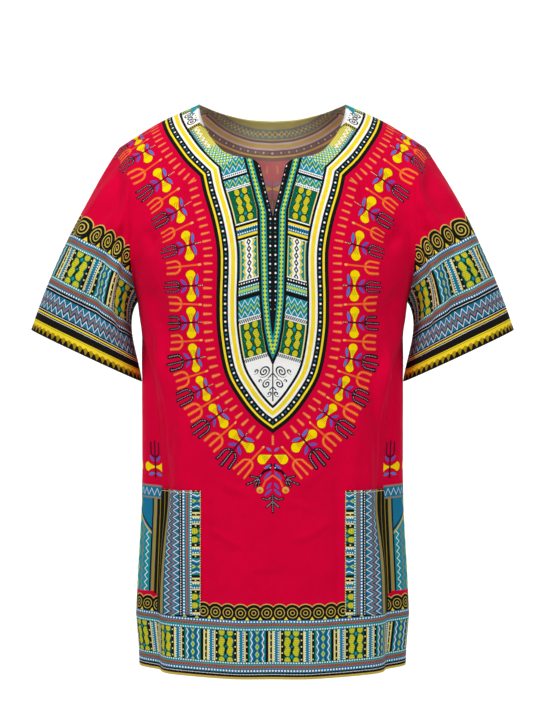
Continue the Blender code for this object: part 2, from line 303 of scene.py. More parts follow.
def printed(half):
    """For each point of a half panel, in metres: distance inside the yoke's side edge and the
    run along it; the same for its collar edge; and the flower count along the ring, the
    distance outward from it and the local spacing of the flowers."""
    flat = half.reshape(-1, 3)
    toward_side = side_curve * np.array([0, 1, 1]) + np.array([0, 0, 0.02])
    toward_neck = np.array([0, 0, 1.0]) + collar_curve * np.array([0, 1, 0])
    toward_ring = np.array([0, 0.0, -0.1]) + 0 * ring_curve
    shape = (2,) + half.shape[:2]
    side = np.zeros((2, len(flat)))
    collar = np.zeros((2, len(flat)))
    ring = np.zeros((3, len(flat)))
    for part in np.array_split(np.arange(len(flat)), 12):
        side[:, part] = beside(flat[part], side_curve, side_run, toward_side)
        collar[:, part] = beside(flat[part], collar_curve, collar_run, toward_neck)
        out, s = beside(flat[part], ring_curve, ring_run, toward_ring)
        ring[0, part] = np.interp(s, knots, np.arange(len(knots)))
        ring[1, part] = -out
        ring[2, part] = np.interp(s, (knots[1:] + knots[:-1]) / 2, np.diff(knots))
    return side.reshape(shape), collar.reshape(shape), ring.reshape((3,) + half.shape[:2])


# Ink on cotton: every printed zone is one flat ink over another on a matte plain weave, a little
# uneven where the screen laid it on, and paler where it shows through on the reverse.
def ink(red, green, blue):
    """Linear colour of an ink given as display values from 0 to 255."""
    c = np.array([red, green, blue]) / 255.0
    c = np.where(c <= 0.04045, c / 12.92, ((c + 0.055) / 1.055) ** 2.4)
    return (float(c[0]), float(c[1]), float(c[2]), 1.0)


CRIMSON = ink(220, 0, 56)
YELLOW = ink(250, 222, 44)
SUN = ink(255, 222, 0)
SEED = ink(216, 214, 44)
OLIVE = ink(172, 150, 26)
MOSS = ink(52, 128, 84)
GOLD = ink(216, 190, 84)
ORANGE = ink(244, 104, 34)
RUST = ink(168, 24, 30)
LEAF_BLUE = ink(70, 122, 204)
VIOLET = ink(82, 88, 188)
STRAW = ink(226, 216, 98)
TEAL = ink(24, 150, 164)
SKY = ink(28, 122, 160)
NAVY = ink(16, 50, 76)
LIME = ink(202, 222, 66)
GREEN = ink(12, 96, 66)
COPPER = ink(176, 108, 84)
UMBER = ink(112, 62, 52)
PEACH = ink(250, 178, 86)
PINE = ink(8, 44, 42)
SEA = ink(28, 118, 152)
BLACK = ink(26, 24, 24)
MAROON = ink(92, 14, 48)
SOOT = ink(48, 10, 24)
FLAME = ink(236, 96, 56)
WHITE = ink(250, 250, 248)
ASH = ink(172, 162, 174)
CREAM = ink(238, 226, 150)
GREY = ink(142, 136, 118)
PALE_REVERSE = ink(236, 196, 186)
# share of pale in the reverse, radians of weave in a millimetre, and heights against a thread's
PALER = 0.42
THREADS = 8.4
SLUB_HEIGHT, WRINKLE_HEIGHT = 1.6, 96


class Number:
    """A number that varies over the cloth; a sum or comparison of it is another. The sign &
    takes the lesser of two: both of two masks, or the distance from the nearer of two shapes.
    The sign | takes the greater: either of two masks, or the distance from what they share."""

    def __init__(self, tree, socket):
        self.tree = tree
        self.socket = socket

    def do(self, operation, *values, first=None):
        node = self.tree.nodes.new("ShaderNodeMath")
        node.operation = operation
        given = (self,) + values if first is None else (first, self) + values
        for slot, value in zip(node.inputs, given):
            if isinstance(value, Number):
                self.tree.links.new(value.socket, slot)
            else:
                slot.default_value = float(value)
        return Number(self.tree, node.outputs[0])

    def __add__(self, other):
        return self.do("ADD", other)

    def __sub__(self, other):
        return self.do("SUBTRACT", other)

    def __rsub__(self, other):
        return self.do("SUBTRACT", first=other)

    def __mul__(self, other):
        return self.do("MULTIPLY", other)

    def __truediv__(self, other):
        return self.do("DIVIDE", other)

    def __lt__(self, other):
        return self.do("LESS_THAN", other)

    def __gt__(self, other):
        return self.do("GREATER_THAN", other)

    def __and__(self, other):
        return self.do("MINIMUM", other)

    def __or__(self, other):
        return self.do("MAXIMUM", other)

    def size(self):
        return self.do("ABSOLUTE")

    def root(self):
        return self.do("SQRT")

    def repeat(self, period):
        """Distance from the middle of the repeat that the number lies in."""
        return self.do("WRAP", period / 2, -period / 2)

    def zigzag(self, period):
        """Triangle wave between nought and half the period."""
        return self.do("PINGPONG", period / 2)

    def every(self, period, width):
        """Lines of that width at every period."""
        return self.repeat(period).size() < width / 2

    def within(self, low, high):
        return (self > low) & (self < high)


def length(a, b):
    """Distance from nought of the point with those two coordinates."""
    return (a * a + b * b).root()


def limb(a, b, start, end):
    """Distance from the straight line between two points."""
    da, db = end[0] - start[0], end[1] - start[1]
    square = da * da + db * db
    along = (a * (da / square) + b * (db / square)) - (start[0] * da + start[1] * db) / square
    along = (along & 1) | 0
    return length(a - start[0] - along * da, b - start[1] - along * db)


class Print:
    """The inks laid one over another in a material of the cloth."""

    def __init__(self, name, ground):
        self.material = bpy.data.materials.new(name)
        self.material.use_nodes = True
        self.tree = self.material.node_tree
        self.shader = self.tree.nodes["Principled BSDF"]
        self.colour = ground
        self.given = {}

    def take(self, name):
        """The three numbers of an attribute of the mesh; lengths are in millimetres."""
        if name not in self.given:
            source = self.tree.nodes.new("ShaderNodeAttribute")
            source.attribute_name = name
            split = self.tree.nodes.new("ShaderNodeSeparateXYZ")
            self.tree.links.new(source.outputs["Vector"], split.inputs[0])
            self.given[name] = [Number(self.tree, out) for out in split.outputs]
        return self.given[name]

    def lay(self, mask, over):
        """Ink where the mask is one; the ink is a colour or another print's colour so far."""
        mix = self.tree.nodes.new("ShaderNodeMix")
        mix.data_type = "RGBA"
        self.tree.links.new(mask.socket, mix.inputs["Factor"])
        for slot, value in ((mix.inputs["A"], self.colour), (mix.inputs["B"], over)):
            if isinstance(value, tuple):
                slot.default_value = value
            else:
                self.tree.links.new(value, slot)
        self.colour = mix.outputs["Result"]

    def fill(self, mask, *layers):
        """Inks laid within a mask, each a smaller mask and its ink."""
        for part, over in layers:
            self.lay(mask & part, over)

    def stripes(self, across, inks):
        """Colour that changes at each listed distance, in the coordinate's own unit."""
        span = inks[-1][0] * 1.25 + 1.0
        ramp_node = self.tree.nodes.new("ShaderNodeValToRGB")
        bands = ramp_node.color_ramp
        bands.interpolation = "CONSTANT"
        self.tree.links.new((across / span).socket, ramp_node.inputs["Fac"])
        bands.elements[0].position = 0.0
        bands.elements[0].color = inks[0][1]
        bands.elements.remove(bands.elements[1])
        for start, colour in inks[1:]:
            bands.elements.new(start / span).color = colour
        return ramp_node.outputs["Color"]

    def noise(self, scale, detail):
        """Cloudy number between nought and one, fixed in the object's own space."""
        tree = self.tree
        node = tree.nodes.new("ShaderNodeTexNoise")
        node.inputs["Scale"].default_value = scale
        node.inputs["Detail"].default_value = detail
        place = tree.nodes.new("ShaderNodeTexCoord").outputs["Object"]
        tree.links.new(place, node.inputs["Vector"])
        return Number(tree, node.outputs["Fac"])

    def finish(self):
        """The paler reverse, the uneven ink, and the weave with its slubs and small wrinkles,
        then the shader's own values."""
        tree, shader = self.tree, self.shader
        u, v, reverse = self.take("cloth")
        self.lay(reverse * PALER, PALE_REVERSE)
        patches = self.noise(26.0, 5.0)
        tint = tree.nodes.new("ShaderNodeVectorMath")
        tint.operation = "SCALE"
        tree.links.new(self.colour, tint.inputs[0])
        tree.links.new((patches * 0.16 + 0.92).socket, tint.inputs["Scale"])
        tree.links.new(tint.outputs[0], shader.inputs["Base Color"])
        thread = ((u * THREADS).do("SINE") * (v * THREADS).do("SINE")) * 0.5
        height = thread + self.noise(420.0, 3.0) * SLUB_HEIGHT
        height = height + self.noise(22.0, 2.0) * WRINKLE_HEIGHT
        bump_node = tree.nodes.new("ShaderNodeBump")
        bump_node.inputs["Strength"].default_value = 0.35
        bump_node.inputs["Distance"].default_value = 0.0002
        tree.links.new(height.socket, bump_node.inputs["Height"])
        tree.links.new(bump_node.outputs["Normal"], shader.inputs["Normal"])
        tree.links.new((patches * 0.16 + 0.72).socket, shader.inputs["Roughness"])
        shader.inputs["Specular IOR Level"].default_value = 0.02
        shader.inputs["Sheen Weight"].default_value = 0.012
        shader.inputs["Sheen Roughness"].default_value = 0.6
        return self.material


def crease_rise(u, v, creases):
    """Height of the given creases at cloth points, all in millimetres: each runs from one point to
    another and is a rounded ridge, or a groove if its height is negative, that wanders a little and
    fades at its ends."""
    rise = np.zeros(np.shape(u))
    for u0, v0, u1, v1, width, height in creases:
        du, dv = u1 - u0, v1 - v0
        long = np.hypot(du, dv)
        along = ((u - u0) * du + (v - v0) * dv) / long ** 2
        side = ((u - u0) * dv - (v - v0) * du) / long
        side = side + 0.35 * width * np.sin(along * 5 + u0 * 0.13)
        fade = ramp(along, -0.05, 0.35) * ramp(-along, -1.05, -0.65)
        rise = rise + height * fade * bump(side, 0, width)
    return rise


def quads(index):
    """Four-cornered faces between neighbours of a grid of point numbers."""
    return np.stack([index[:-1, :-1], index[:-1, 1:], index[1:, 1:], index[1:, :-1]], axis=2)


def sides(faces):
    """The four edges of every face, as pairs of points: all the first ones, and so on."""
    return np.concatenate([np.stack([faces[:, k], faces[:, (k + 1) % 4]], axis=1)
                           for k in range(4)])


def area_vectors(points, faces):
    """Twice the area vector of each face: the cross product of its diagonals."""
    c = points[faces]
    return np.cross(c[:, 2] - c[:, 0], c[:, 3] - c[:, 1])


def point_normals(points, faces):
    """Normals of points as the sum of the area vectors of their faces."""
    face_normal = area_vectors(points, faces)
    normal = np.zeros_like(points)
    for k in range(4):
        np.add.at(normal, faces[:, k], face_normal)
    return normal / np.linalg.norm(normal, axis=1, keepdims=True)


def area(points, faces):
    """Area of the faces, in square metres."""
    return float(np.linalg.norm(area_vectors(points, faces), axis=1).sum() / 2)


def cloth(name, points, faces, zones, values, materials, rise, thick=0.0006):
    """Closed sheet of cloth: its outer points moved out by the creases, the same moved in by
    the thickness along the normals, and a rim on every open edge. Points that coincide are
    one, while their print values, given a corner, may differ across a seam."""
    place, shared = np.unique(np.round(points, 7), axis=0, return_inverse=True)
    shared = shared.reshape(-1)
    joined = shared[faces]
    height = np.zeros(len(place))
    height[shared] = rise / 1000
    outer = place + point_normals(place, joined) * height[:, None]
    inner = outer - point_normals(outer, joined) * thick
    count = len(place)
    edges = sides(joined)
    key = edges.min(axis=1) * count + edges.max(axis=1)
    where, times = np.unique(key, return_index=True, return_counts=True)[1:]
    rim = where[times == 1]
    a, b = edges[rim].T
    rims = np.stack([b, a, a + count, b + count], axis=1)
    mesh = bpy.data.meshes.new(name)
    every = np.vstack([joined, joined[:, ::-1] + count, rims])
    mesh.from_pydata(np.vstack([outer, inner]).tolist(), [], every.tolist())
    a, b = sides(faces)[rim].T
    corners = np.concatenate([faces.ravel(), faces[:, ::-1].ravel(),
                              np.stack([b, a, a, b], axis=1).ravel()])
    reverse = np.concatenate([np.zeros(faces.size), np.ones(faces.size),
                              np.tile([0, 0, 1, 1], len(rim))])
    for key, value in values.items():
        given = value[corners]
        if key == "cloth":
            given = np.stack([given[:, 0], given[:, 1], reverse], axis=1)
        layer = mesh.attributes.new(key, "FLOAT_VECTOR", "CORNER")
        layer.data.foreach_set("vector", given.astype(np.float32).ravel())
    for material in materials:
        mesh.materials.append(material)
    owner = np.tile(np.arange(len(faces)), 4)
    slots = np.concatenate([zones, zones, zones[owner[rim]]]).astype(np.int32)
    mesh.polygons.foreach_set("material_index", slots)
    mesh.polygons.foreach_set("use_smooth", np.arange(len(every)) < 2 * len(faces))
    mesh.update()
    piece = bpy.data.objects.new(name, mesh)
    bpy.context.scene.collection.objects.link(piece)
    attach(piece, "root")
    return piece


def whole(half, values, open_rows):
    """Both halves of a panel from its right half: points, faces that look out of the front, the
    point values mirrored, and the side of each point. Above open_rows the centre line is a slit
    and has two edges."""
    rows, cols = half.shape[:2]
    left = half[:, ::-1] * np.array([-1, 1, 1])
    grid = np.concatenate([left, half], axis=1)
    both = np.concatenate([values[:, ::-1], values], axis=1)
    side = np.concatenate([-np.ones((rows, cols)), np.ones((rows, cols))], axis=1)
    index = np.arange(rows * 2 * cols).reshape(rows, 2 * cols)
    index[:open_rows, cols - 1] = index[:open_rows, cols]
    faces = np.delete(quads(index), cols - 1, axis=1).reshape(-1, 4)
    used, renumber = np.unique(faces, return_inverse=True)
    return (grid.reshape(-1, 3)[used], renumber.reshape(-1, 4),
            both.reshape(-1, both.shape[2])[used], side.reshape(-1)[used])


# Front: one panel of cotton print, slit down from the neckline. Its print is one design: the
# flower ring, the banded yoke, the patterned collar and columns, the placket and the hem band.
# in metres: z and half width of the lens round the slit, and how far the printed edge lies
# outside the yoke's own line
LENS = [(-0.0920, 0.0211), (-0.1650, 0.0190), (-0.2700, 0.0164), (-0.3100, 0.0127),
        (-0.3360, 0.0078), (-0.3577, -0.0019), (-0.5000, -0.0919), (-0.8000, -0.3519)]
EDGE_OUT = 0.0028
# in millimetres: the width of the yoke's border, how far its strokes reach out from its edge
# and the flowers from the ring, and the height of the hem band
INNER_BLACK = 29.5
STROKE_REACH, RING_REACH = 19.4, 46
HEM_BAND = 77.0


def front_values(half):
    """Point values of a half panel in millimetres: cloth u, v; the yoke side's d, s and the
    distance e inside the lens; the collar's d, s and z; x, z and the distance from the panel's
    side edge; and the ring's flower count n, distance b and spacing."""
    u, v = runs(half)
    side, collar, ring = printed(half)
    x, z = half[:, :, 0], half[:, :, 2]
    lens = np.array(LENS)[::-1]
    width = np.interp(z, lens[:, 0], lens[:, 1])
    lean = np.interp(z - 0.004, lens[:, 0], lens[:, 1]) - width
    inside_lens = (width - (x - x[:, :1])) / np.sqrt(1 + (lean / 0.004) ** 2)
    lengths = {"cloth": (u, v, 0 * u), "side": (side[0] + EDGE_OUT, side[1], inside_lens),
               "collar": (collar[0] + EDGE_OUT, collar[1], z), "place": (x, z, u[:, -1:] - u)}
    values = {key: np.stack(parts, axis=2) * 1000 for key, parts in lengths.items()}
    values["ring"] = np.stack([ring[0], ring[1] * 1000, ring[2] * 1000], axis=2)
    return values


def line(distance, width):
    """Line of that width where a distance is nought."""
    return distance.size() < width / 2


def lines(made, mask, distance, *inks):
    """Lines within a mask, each at a value of the distance, with its width and ink."""
    for at, width, colour in inks:
        made.lay(mask & line(distance - at, width), colour)


def dots(across, period, up, level, radius):
    """Round dots at every period, in a row at a level."""
    return length(across.repeat(period), up - level) < radius


def dotted_rows(made, across, up, *rows):
    """Rows of white dots, each with its period, level and radius."""
    for period, level, radius in rows:
        made.lay(dots(across, period, up, level, radius), WHITE)


def diamonds(across, period, up, level, half_length, half_height):
    """Diamonds at every period: the two distances over their halves add up to less than one."""
    return (across.repeat(period).size() / half_length
            + (up - level).size() / half_height) < 1


def wave(across, period, height):
    """Zigzag line of that height about nought."""
    return across.zigzag(period) * (2 * height / period) - height / 2


def spiral(across, up, pitch, width):
    """Line wound about nought, whose radius grows by the pitch in each turn."""
    turns = across.do("ARCTAN2", up) / (2 * np.pi / pitch)
    return (length(across, up) - turns).every(pitch, width)


def turned(a, b, at_a, at_b, angle):
    """Coordinates along and across a line through a point, turned by an angle."""
    c, s = np.cos(angle), np.sin(angle)
    return (a - at_a) * c + (b - at_b) * s, (b - at_b) * c - (a - at_a) * s


def leaf(a, b, at_a, at_b, angle, half_length, half_width):
    """Pointed leaf: a lens about a turned line, whose width falls off with the square of the
    distance along it."""
    along, off = turned(a, b, at_a, at_b, angle)
    room = 1 - (along / half_length) * (along / half_length)
    return off.size() < room * half_width


def fork(a, b, foot, half, tip):
    """Distance from a fork: a half circle below the foot's level, and a prong from each end of
    it to a tip."""
    arch = (length(a, b - foot) - half).size() + (b > foot) * 50
    return arch & limb(a, b, (half, foot), tip)


def pear(along, off, reach, radius, neck):
    """Distance from a pear: a round head about the reach, where the half width of its neck is
    given on the way there."""
    return (length((along - reach) | 0, off) - radius) | (off.size() - neck)


def flower_ring(made):
    """Flowers at whole counts along the ring, each a pair of pears on a stem with four leaves
    and a dark fork outside; orange forks at the half counts between them. Each is charted in
    millimetres to the side of its middle and out from the ring."""
    n, b, spacing = made.take("ring")
    pa = ((n - n.do("ROUND")) * spacing).size()
    pb = ((n - 0.5 - (n - 0.5).do("ROUND")) * spacing).size()
    dashes = b.every(2.6, 1.5)
    # orange fork, with a dashed yellow core; there is none beside the centre ornament
    stem = limb(pb, b, (0, -14), (0, 14))
    prongs = fork(pb, b, 22.5, 8.5, (8.0, 34)) & limb(pb, b, (0, 14), (0, 33))
    made.fill(n.size() > 0.75, (stem < 1.1, ORANGE), ((stem < 1.3) & (b < -11), PEACH),
              (prongs < 1.55, ORANGE), ((prongs < 0.38) & dashes, PEACH))
    # dark fork outside the flower, with a dashed white core
    dark = fork(pa, b, 24, 7.5, (7.5, 38)) & limb(pa, b, (0, 16.5), (0, 41))
    made.lay(dark < 1.9, SOOT)
    made.lay((dark < 0.45) & dashes, ASH)
    # pears and leaves, smaller where the flowers stand closer
    close = ((spacing / 48) & 1) | 0.76
    pa, b = pa / close, b / close
    fruit = pear(pa, b, 13.8, 6.7, (pa / 13.8).do("POWER", 1.7) * 5.4 + 1.3) | (1.2 - pa)
    seeds = pa.within(4.0, 12.0) & (b + pa * 0.3).every(2.3, 0.8) & (b.size() < 3.6)
    made.lay(fruit < 0.7, RUST)
    made.lay(fruit < 0, SUN)
    made.lay(seeds & (fruit < -0.6), OLIVE)
    made.lay(leaf(pa, b, 7.8, -8.4, -0.2, 7.4, 2.1), LEAF_BLUE)
    made.lay(leaf(pa, b, 5.4, 10.6, 0.78, 6.2, 1.95), VIOLET)
    made.lay(limb(pa, b, (0, -14), (0, 16.5)) < 1.25, MAROON)
    made.lay(dots(b + 13, 2.2, pa, 0, 0.6) & (b < -10), CREAM)


def yoke_border(made):
    """The bands inside the yoke's edge, mitred where the collar part meets the side, and the
    short orange strokes that stand out from it."""
    d_side, s_side, _ = made.take("side")
    d_collar, s_collar, z = made.take("collar")
    d = d_side | d_collar
    s = s_side + (s_collar - s_side) * (d_collar > d_side)
    # strokes, narrower towards the yoke, with a dotted core
    stroke = limb(s.repeat(11.0), d, (0, -16.2), (0, -7.0)) + (d + 11.5) * 0.06 + (s < 6) * 9
    stroke = stroke & limb(made.take("place")[0].size(), z, (0, -448.5), (0, -458.5))
    made.lay(stroke < 1.65, FLAME)
    made.lay((stroke < 0.8) & d.every(2.2, 1.2), PEACH)
    bands = made.stripes(d, [(0, BLACK), (5.0, YELLOW), (7.8, BLACK), (15.6, WHITE),
                             (18.5, YELLOW), (23.8, WHITE), (26.3, BLACK)])
    made.lay(d > 0, bands)
    made.lay(dots(s, 11.8, d, 11.7, 1.45), WHITE)
    made.lay(dots(s + 5.9, 11.8, d, 11.7, 1.35), SEA)


def zigzags(made, mask, level, middle, across):
    """A yellow-green zigzag on teal between two white ones, and dark hollows under them."""
    made.lay(mask, TEAL)
    off = level - middle + wave(across, 8.1, 7.6)
    lines(made, mask, off, (2.2, 1.6, GREEN), (9.4, 1.4, SKY), (0, 1.9, LIME))
    lines(made, mask, off.size(), (7.4, 1.3, WHITE))


def seed_block(made, mask, a, up, rim):
    """Two stacks of double yellow seeds in a rim of ink, side by side across a, with teal
    diamonds between."""
    pa, pu = a.size(), up.size()
    bent = pa - 5.7 + (up * 0.60).do("SINE") * (a.do("SIGN")) * 0.7
    single = pa - 5.6
    seeds = (length(bent / 3.7, (pu - 5.9) / 6.4) < 1) | (length(single / 3.7, (pu - 18.3) / 4.6) < 1)
    rims = (length(bent / 4.7, (pu - 5.9) / 7.4) < 1) | (length(single / 4.7, (pu - 18.3) / 5.6) < 1)
    specks = length((a + up * 0.5).repeat(2.0), up.repeat(2.4)) < 0.7
    teal = ((pa / 2.3 + (pu - 12.8).size() / 3.1) < 1) | (length(a, up) < 1.2)
    made.fill(mask, (dots(up, 12.8, pa, 10.4, 0.9), TEAL), (rims, rim), (seeds, SEED),
              (seeds & specks, OLIVE), (teal, TEAL))


def hatch(made, level, low, high, across):
    """Two white lines with slanted black and white dashes between them."""
    made.lay(level.within(low, high), WHITE)
    made.fill(level.within(low + 1.2, high - 1.2), (level > low, BLACK),
              ((across - level * 0.5).every(2.6, 1.0), WHITE))


def columns_print():
    """The two columns of pattern between the border and the placket, in blocks one above
    another whose lower edges fall away from the centre; levels count down from the shoulders."""
    made = Print("column_print", BLACK)
    d, _, e = made.take("side")
    x, z, _ = made.take("place")
    x = x.size()
    c = ((d - INNER_BLACK) + e) / 2
    half = ((d - INNER_BLACK) - e) / 2
    level = 0 - z - x * 0.29
    made.colour = made.stripes(level, [
        (0, TEAL), (92, BLACK), (95.8, TEAL), (108.5, BLACK), (111, GREEN), (157.5, WHITE),
        (159, BLACK), (162, YELLOW), (165, SKY), (174, YELLOW), (177, BLACK), (180, WHITE),
        (182, TEAL), (234, WHITE), (235.3, BLACK), (242, TEAL), (254, BLACK), (260, TEAL),
        (284, GREEN), (337, WHITE)])
    zigzags(made, level < 88, level, 75, x)
    hatch(made, level, 88, 92.4, x)
    zigzags(made, level.within(95.8, 108.5), level, 102, x)
    hatch(made, level, 107.6, 111.4, x)
    # checks with a white dotted row each side
    made.fill(level.within(165, 174),
              (dots(x, 3.0, level, 166.6, 0.9) | dots(x, 3.0, level, 172.4, 0.9), WHITE),
              (line(level - 169.5, 3.6) & x.every(3.2, 1.4), NAVY))
    # tall block: a chain of black diamonds down the middle
    pc = c.size()
    edge = pc + wave(level, 4.65, 3.4)
    made.fill(level.within(182, 234),
              (line(edge - 9.6, 1.5), GREEN), (line(edge - 12.2, 1.1), PINE),
              (pc + wave(level, 9.3, 3.6) < 7.2, STRAW),
              (diamonds(level, 4.65, pc, 6.0, 1.1, 1.0), OLIVE),
              (pc + wave(level, 9.3, 2.6) < 4.4, WHITE),
              (diamonds(level, 9.3, c, 0, 4.9, 3.1) | (pc < 0.5), BLACK),
              (diamonds(level, 9.3, c, 0, 1.9, 1.3), WHITE),
              ((half - pc).within(1.4, 2.6), STRAW))
    made.lay(level.within(236, 241.4) & dots(x, 3.4, level, 238.6, 1.0), WHITE)
    dotted = dots(x, 3.1, level, 244.0, 0.9) | dots(x, 3.1, level, 252.4, 0.9)
    made.lay(level.within(242, 254) & dotted, WHITE)
    made.lay(level.within(246.2, 250.4) & (x.every(2.3, 1.5) | line(level - 248.3, 1)), LIME)
    zigzags(made, level.within(260, 284), level, 272, x)
    hatch(made, level, 284, 291.5, x)
    for low, high in ((111.4, 157.5), (291.5, 337)):
        block = level.within(low, high)
        seed_block(made, block, c, level - (low + high) / 2, BLACK)
        made.lay(block & (half - pc < 1.6), CREAM)
    hatch(made, level, 337, 344, x)
    # wound scrolls on a stem with two twigs, on the pale panel below
    panel = level > 344
    for at_x, at_level, size in ((11.2, 361, 7.6), (22.0, 358, 3.6), (8.0, 378, 5.8),
                                 (16.8, 372, 2.6), (5.0, 392, 3.8), (2.2, 369, 1.6)):
        across, up = x - at_x, level - at_level
        made.lay(panel & (length(across, up) < size) & spiral(across, up, 3.8, 1.75), BLACK)
    twigs = limb(x, level, (0, 366), (6, 371)) & limb(x, level, (0, 384), (4, 387))
    made.lay(panel & ((limb(x, level, (0, 352), (0, 402)) < 0.85) | (twigs < 0.75)), BLACK)
    # thin edges beside the placket and the border
    made.lay((e > -1.3) | (d < INNER_BLACK), BLACK)
    return made.finish()


def placket_print():
    """Lens round the slit: black edge, teal with a chain of lime diamonds, black placket with
    white dots."""
    made = Print("placket_print", BLACK)
    e = made.take("side")[2]
    z = made.take("place")[1]
    u = made.take("cloth")[0].size()
    made.lay(e.within(2.3, 10.6), TEAL)
    made.lay(dots(z + 2.7, 5.4, e, 4.6, 1.0) | dots(z + 2.7, 5.4, e, 8.2, 1.0), GREEN)
    made.lay(diamonds(z, 5.4, e, 6.4, 3.0, 2.7) | line(e - 6.4, 1.0), LIME)
    made.fill(e > 12.2, (dots(z, 11.8, u, 3.7, 1.35), WHITE),
              (dots(z + 5.9, 11.8, u, 3.7, 0.95), TEAL))
    return made.finish()


def collar_print():
    """Patterned collar part between the border and the neckline, in blocks along it."""
    made = Print("collar_print", WHITE)
    d, s, _ = made.take("collar")
    across = d - INNER_BLACK
    made.colour = made.stripes(s, [(0, TEAL), (82, STRAW), (129, OLIVE), (135, WHITE),
                                   (180, OLIVE), (188, TEAL)])
    made.fill(s < 82, (dots(s, 6.0, across.repeat(6.0), 0, 2.1), LIME),
              (dots(s + 3.0, 6.0, (across + 3.0).repeat(6.0), 0, 1.2), WHITE))
    made.fill(s.within(82, 129), (across < 5, TEAL),
              (dots(s, 3.0, (across + 1.5).repeat(3.0), 0, 0.8), OLIVE),
              (line(across - 9.0 + wave(s, 8.0, 3.6), 3.2), WHITE),
              (line(across - 9.0 + wave(s, 4.0, 3.6), 0.8), OLIVE),
              (dots(s + 4.5, 4.5, across, 3.4, 0.9), WHITE))
    made.lay((s.within(129, 135) | s.within(180, 188)) & across.every(3, 1.4), BLACK)
    # one ring between two double ones, and a row of dots
    scroll = s.within(135, 180)
    pale = (s - 157.5).size()
    lines(made, scroll, length(pale - 11, across - 9), (6.0, 2.0, BLACK), (2.0, 1.9, BLACK))
    lines(made, scroll, length(pale, across - 9), (3.2, 1.9, BLACK))
    made.lay(scroll & dots(s, 8.0, across, 17.0, 1.2), BLACK)
    # behind the shoulders
    made.fill(s > 188, (diamonds(s, 9, across, 9, 4.4, 6), LIME),
              (diamonds(s, 9, across, 9, 1.8, 2.6), GREEN), (dots(s + 4.5, 9, across, 9, 1.2), WHITE),
              ((across - 9).size() > 7.4, LIME))
    made.lay(across < 0, BLACK)
    return made.finish()


def block_row(made, row, a, up):
    """Repeat of the wide bands: the seed block at nought, two different groups of stripes
    beside it, and then the waves with their chain of diamonds."""
    place = (a + 34.6).do("WRAP", 85.7, 0)
    stripes = [(-34.6, GREEN), (-34.2, BLACK), (-30.5, CREAM), (-28.4, BLACK), (-25.9, CREAM),
               (-22.8, SKY), (-16.3, CREAM), (-14.3, BLACK), (-9.9, PINE), (9.9, NAVY),
               (11.4, BLACK), (14.4, CREAM), (16.9, SKY), (23.9, CREAM), (25.6, BLACK),
               (28.9, GREEN), (30.1, SKY)]
    made.lay(row, made.stripes(place, [(at + 34.6, colour) for at, colour in stripes]))
    a = place - 34.6
    pa, pu = a.size(), up.size()
    made.fill(row, (dots(up, 8.3, pa, 12.5, 1.0) | dots(up, 8.3, pa, 27.2, 0.9), CREAM),
              (dots(up, 3.0, pa, 17.5, 0.85) | dots(up + 1.5, 3.0, pa, 22.6, 0.85), WHITE),
              (line(pa - 20, 2.4) & up.every(3.0, 1.2), TEAL))
    seeds = row & (pa < 9.9)
    seed_block(made, seeds, a, up, MOSS)
    made.lay(seeds & (pa < 1.0) & pu.within(2, 20) & ((pu - 12.8).size() > 4), BLACK)
    b = a - 40.7
    waves = row & (b.size() < 10.6)
    lines(made, waves, b.size() + wave(up, 10.1, 2.4),
          (9.8, 2.2, TEAL), (7.4, 1.2, WHITE), (3.8, 1.0, NAVY))
    made.fill(waves, (diamonds(up, 10.1, b, 0, 4.3, 2.6), LIME),
              (diamonds(up, 10.1, b, 0, 1.6, 1.1), GREEN))


def cords(made, across, up, period, width, *bands):
    """Slanted dark strokes that twist each copper band like a cord."""
    for low, high in bands:
        made.lay(up.within(low, high) & (across + up * 0.4).every(period, width), UMBER)


def gold_circles(made, across, up, period, radius, wound):
    """Row of concentric gold rings, or of wound spirals, on black above nought; the gold top
    edge is scalloped round each, and yellow wedges stand between their feet."""
    size = radius / 9.2
    side = across.repeat(period)
    ring = length(side, up - radius)
    above = up > 0
    made.fill(above, ((up < radius) | (ring < 11.9 * size), GOLD),
              ((up < radius) | (ring < 10.8 * size), BLACK))
    if wound:
        spirals = spiral(side, up - radius, 3.5 * size, 1.2 * size)
        made.lay(above & (ring < 8.6 * size) & spirals, GOLD)
    else:
        lines(made, above, ring, *((at * size, 0.95 * size, GOLD) for at in (6.4, 2.6)))
    wedge = (across + period / 2).repeat(period).size() + up * 0.65
    made.lay(above & (wedge < 2.8 * size), YELLOW)


def hem_print(made):
    """Band above the hem, all round, in lines, dotted rows and copper cords each side of the
    blocks, under a row of gold rings."""
    u, v, _ = made.take("cloth")
    bands = made.stripes(v, [
        (0, GOLD), (3.0, BLACK), (8.5, SKY), (14.0, COPPER), (18.2, TEAL), (22.3, BLACK),
        (63.0, TEAL), (68.0, COPPER), (72.0, SKY), (HEM_BAND, BLACK)])
    made.lay(v < HEM_BAND, bands)
    dotted_rows(made, u, v, (1.9, 6.4, 0.6), (4.0, 11.0, 1.15), (3.4, 21.2, 0.9),
                (3.4, 64.8, 0.95), (4.0, 74.7, 1.1))
    cords(made, u, v, 2.4, 1.1, (14.4, 17.8), (68.4, 71.6))
    block_row(made, v.within(22.9, 62.6), u - 24.7, v - 42.4)
    gold_circles(made, u - 25.7, v - HEM_BAND, 16.8, 9.2, False)


def branch(a, b, *points):
    """Distance from a bent line through the points."""
    near = limb(a, b, points[0], points[1])
    for start, end in zip(points[1:], points[2:]):
        near = near & limb(a, b, start, end)
    return near


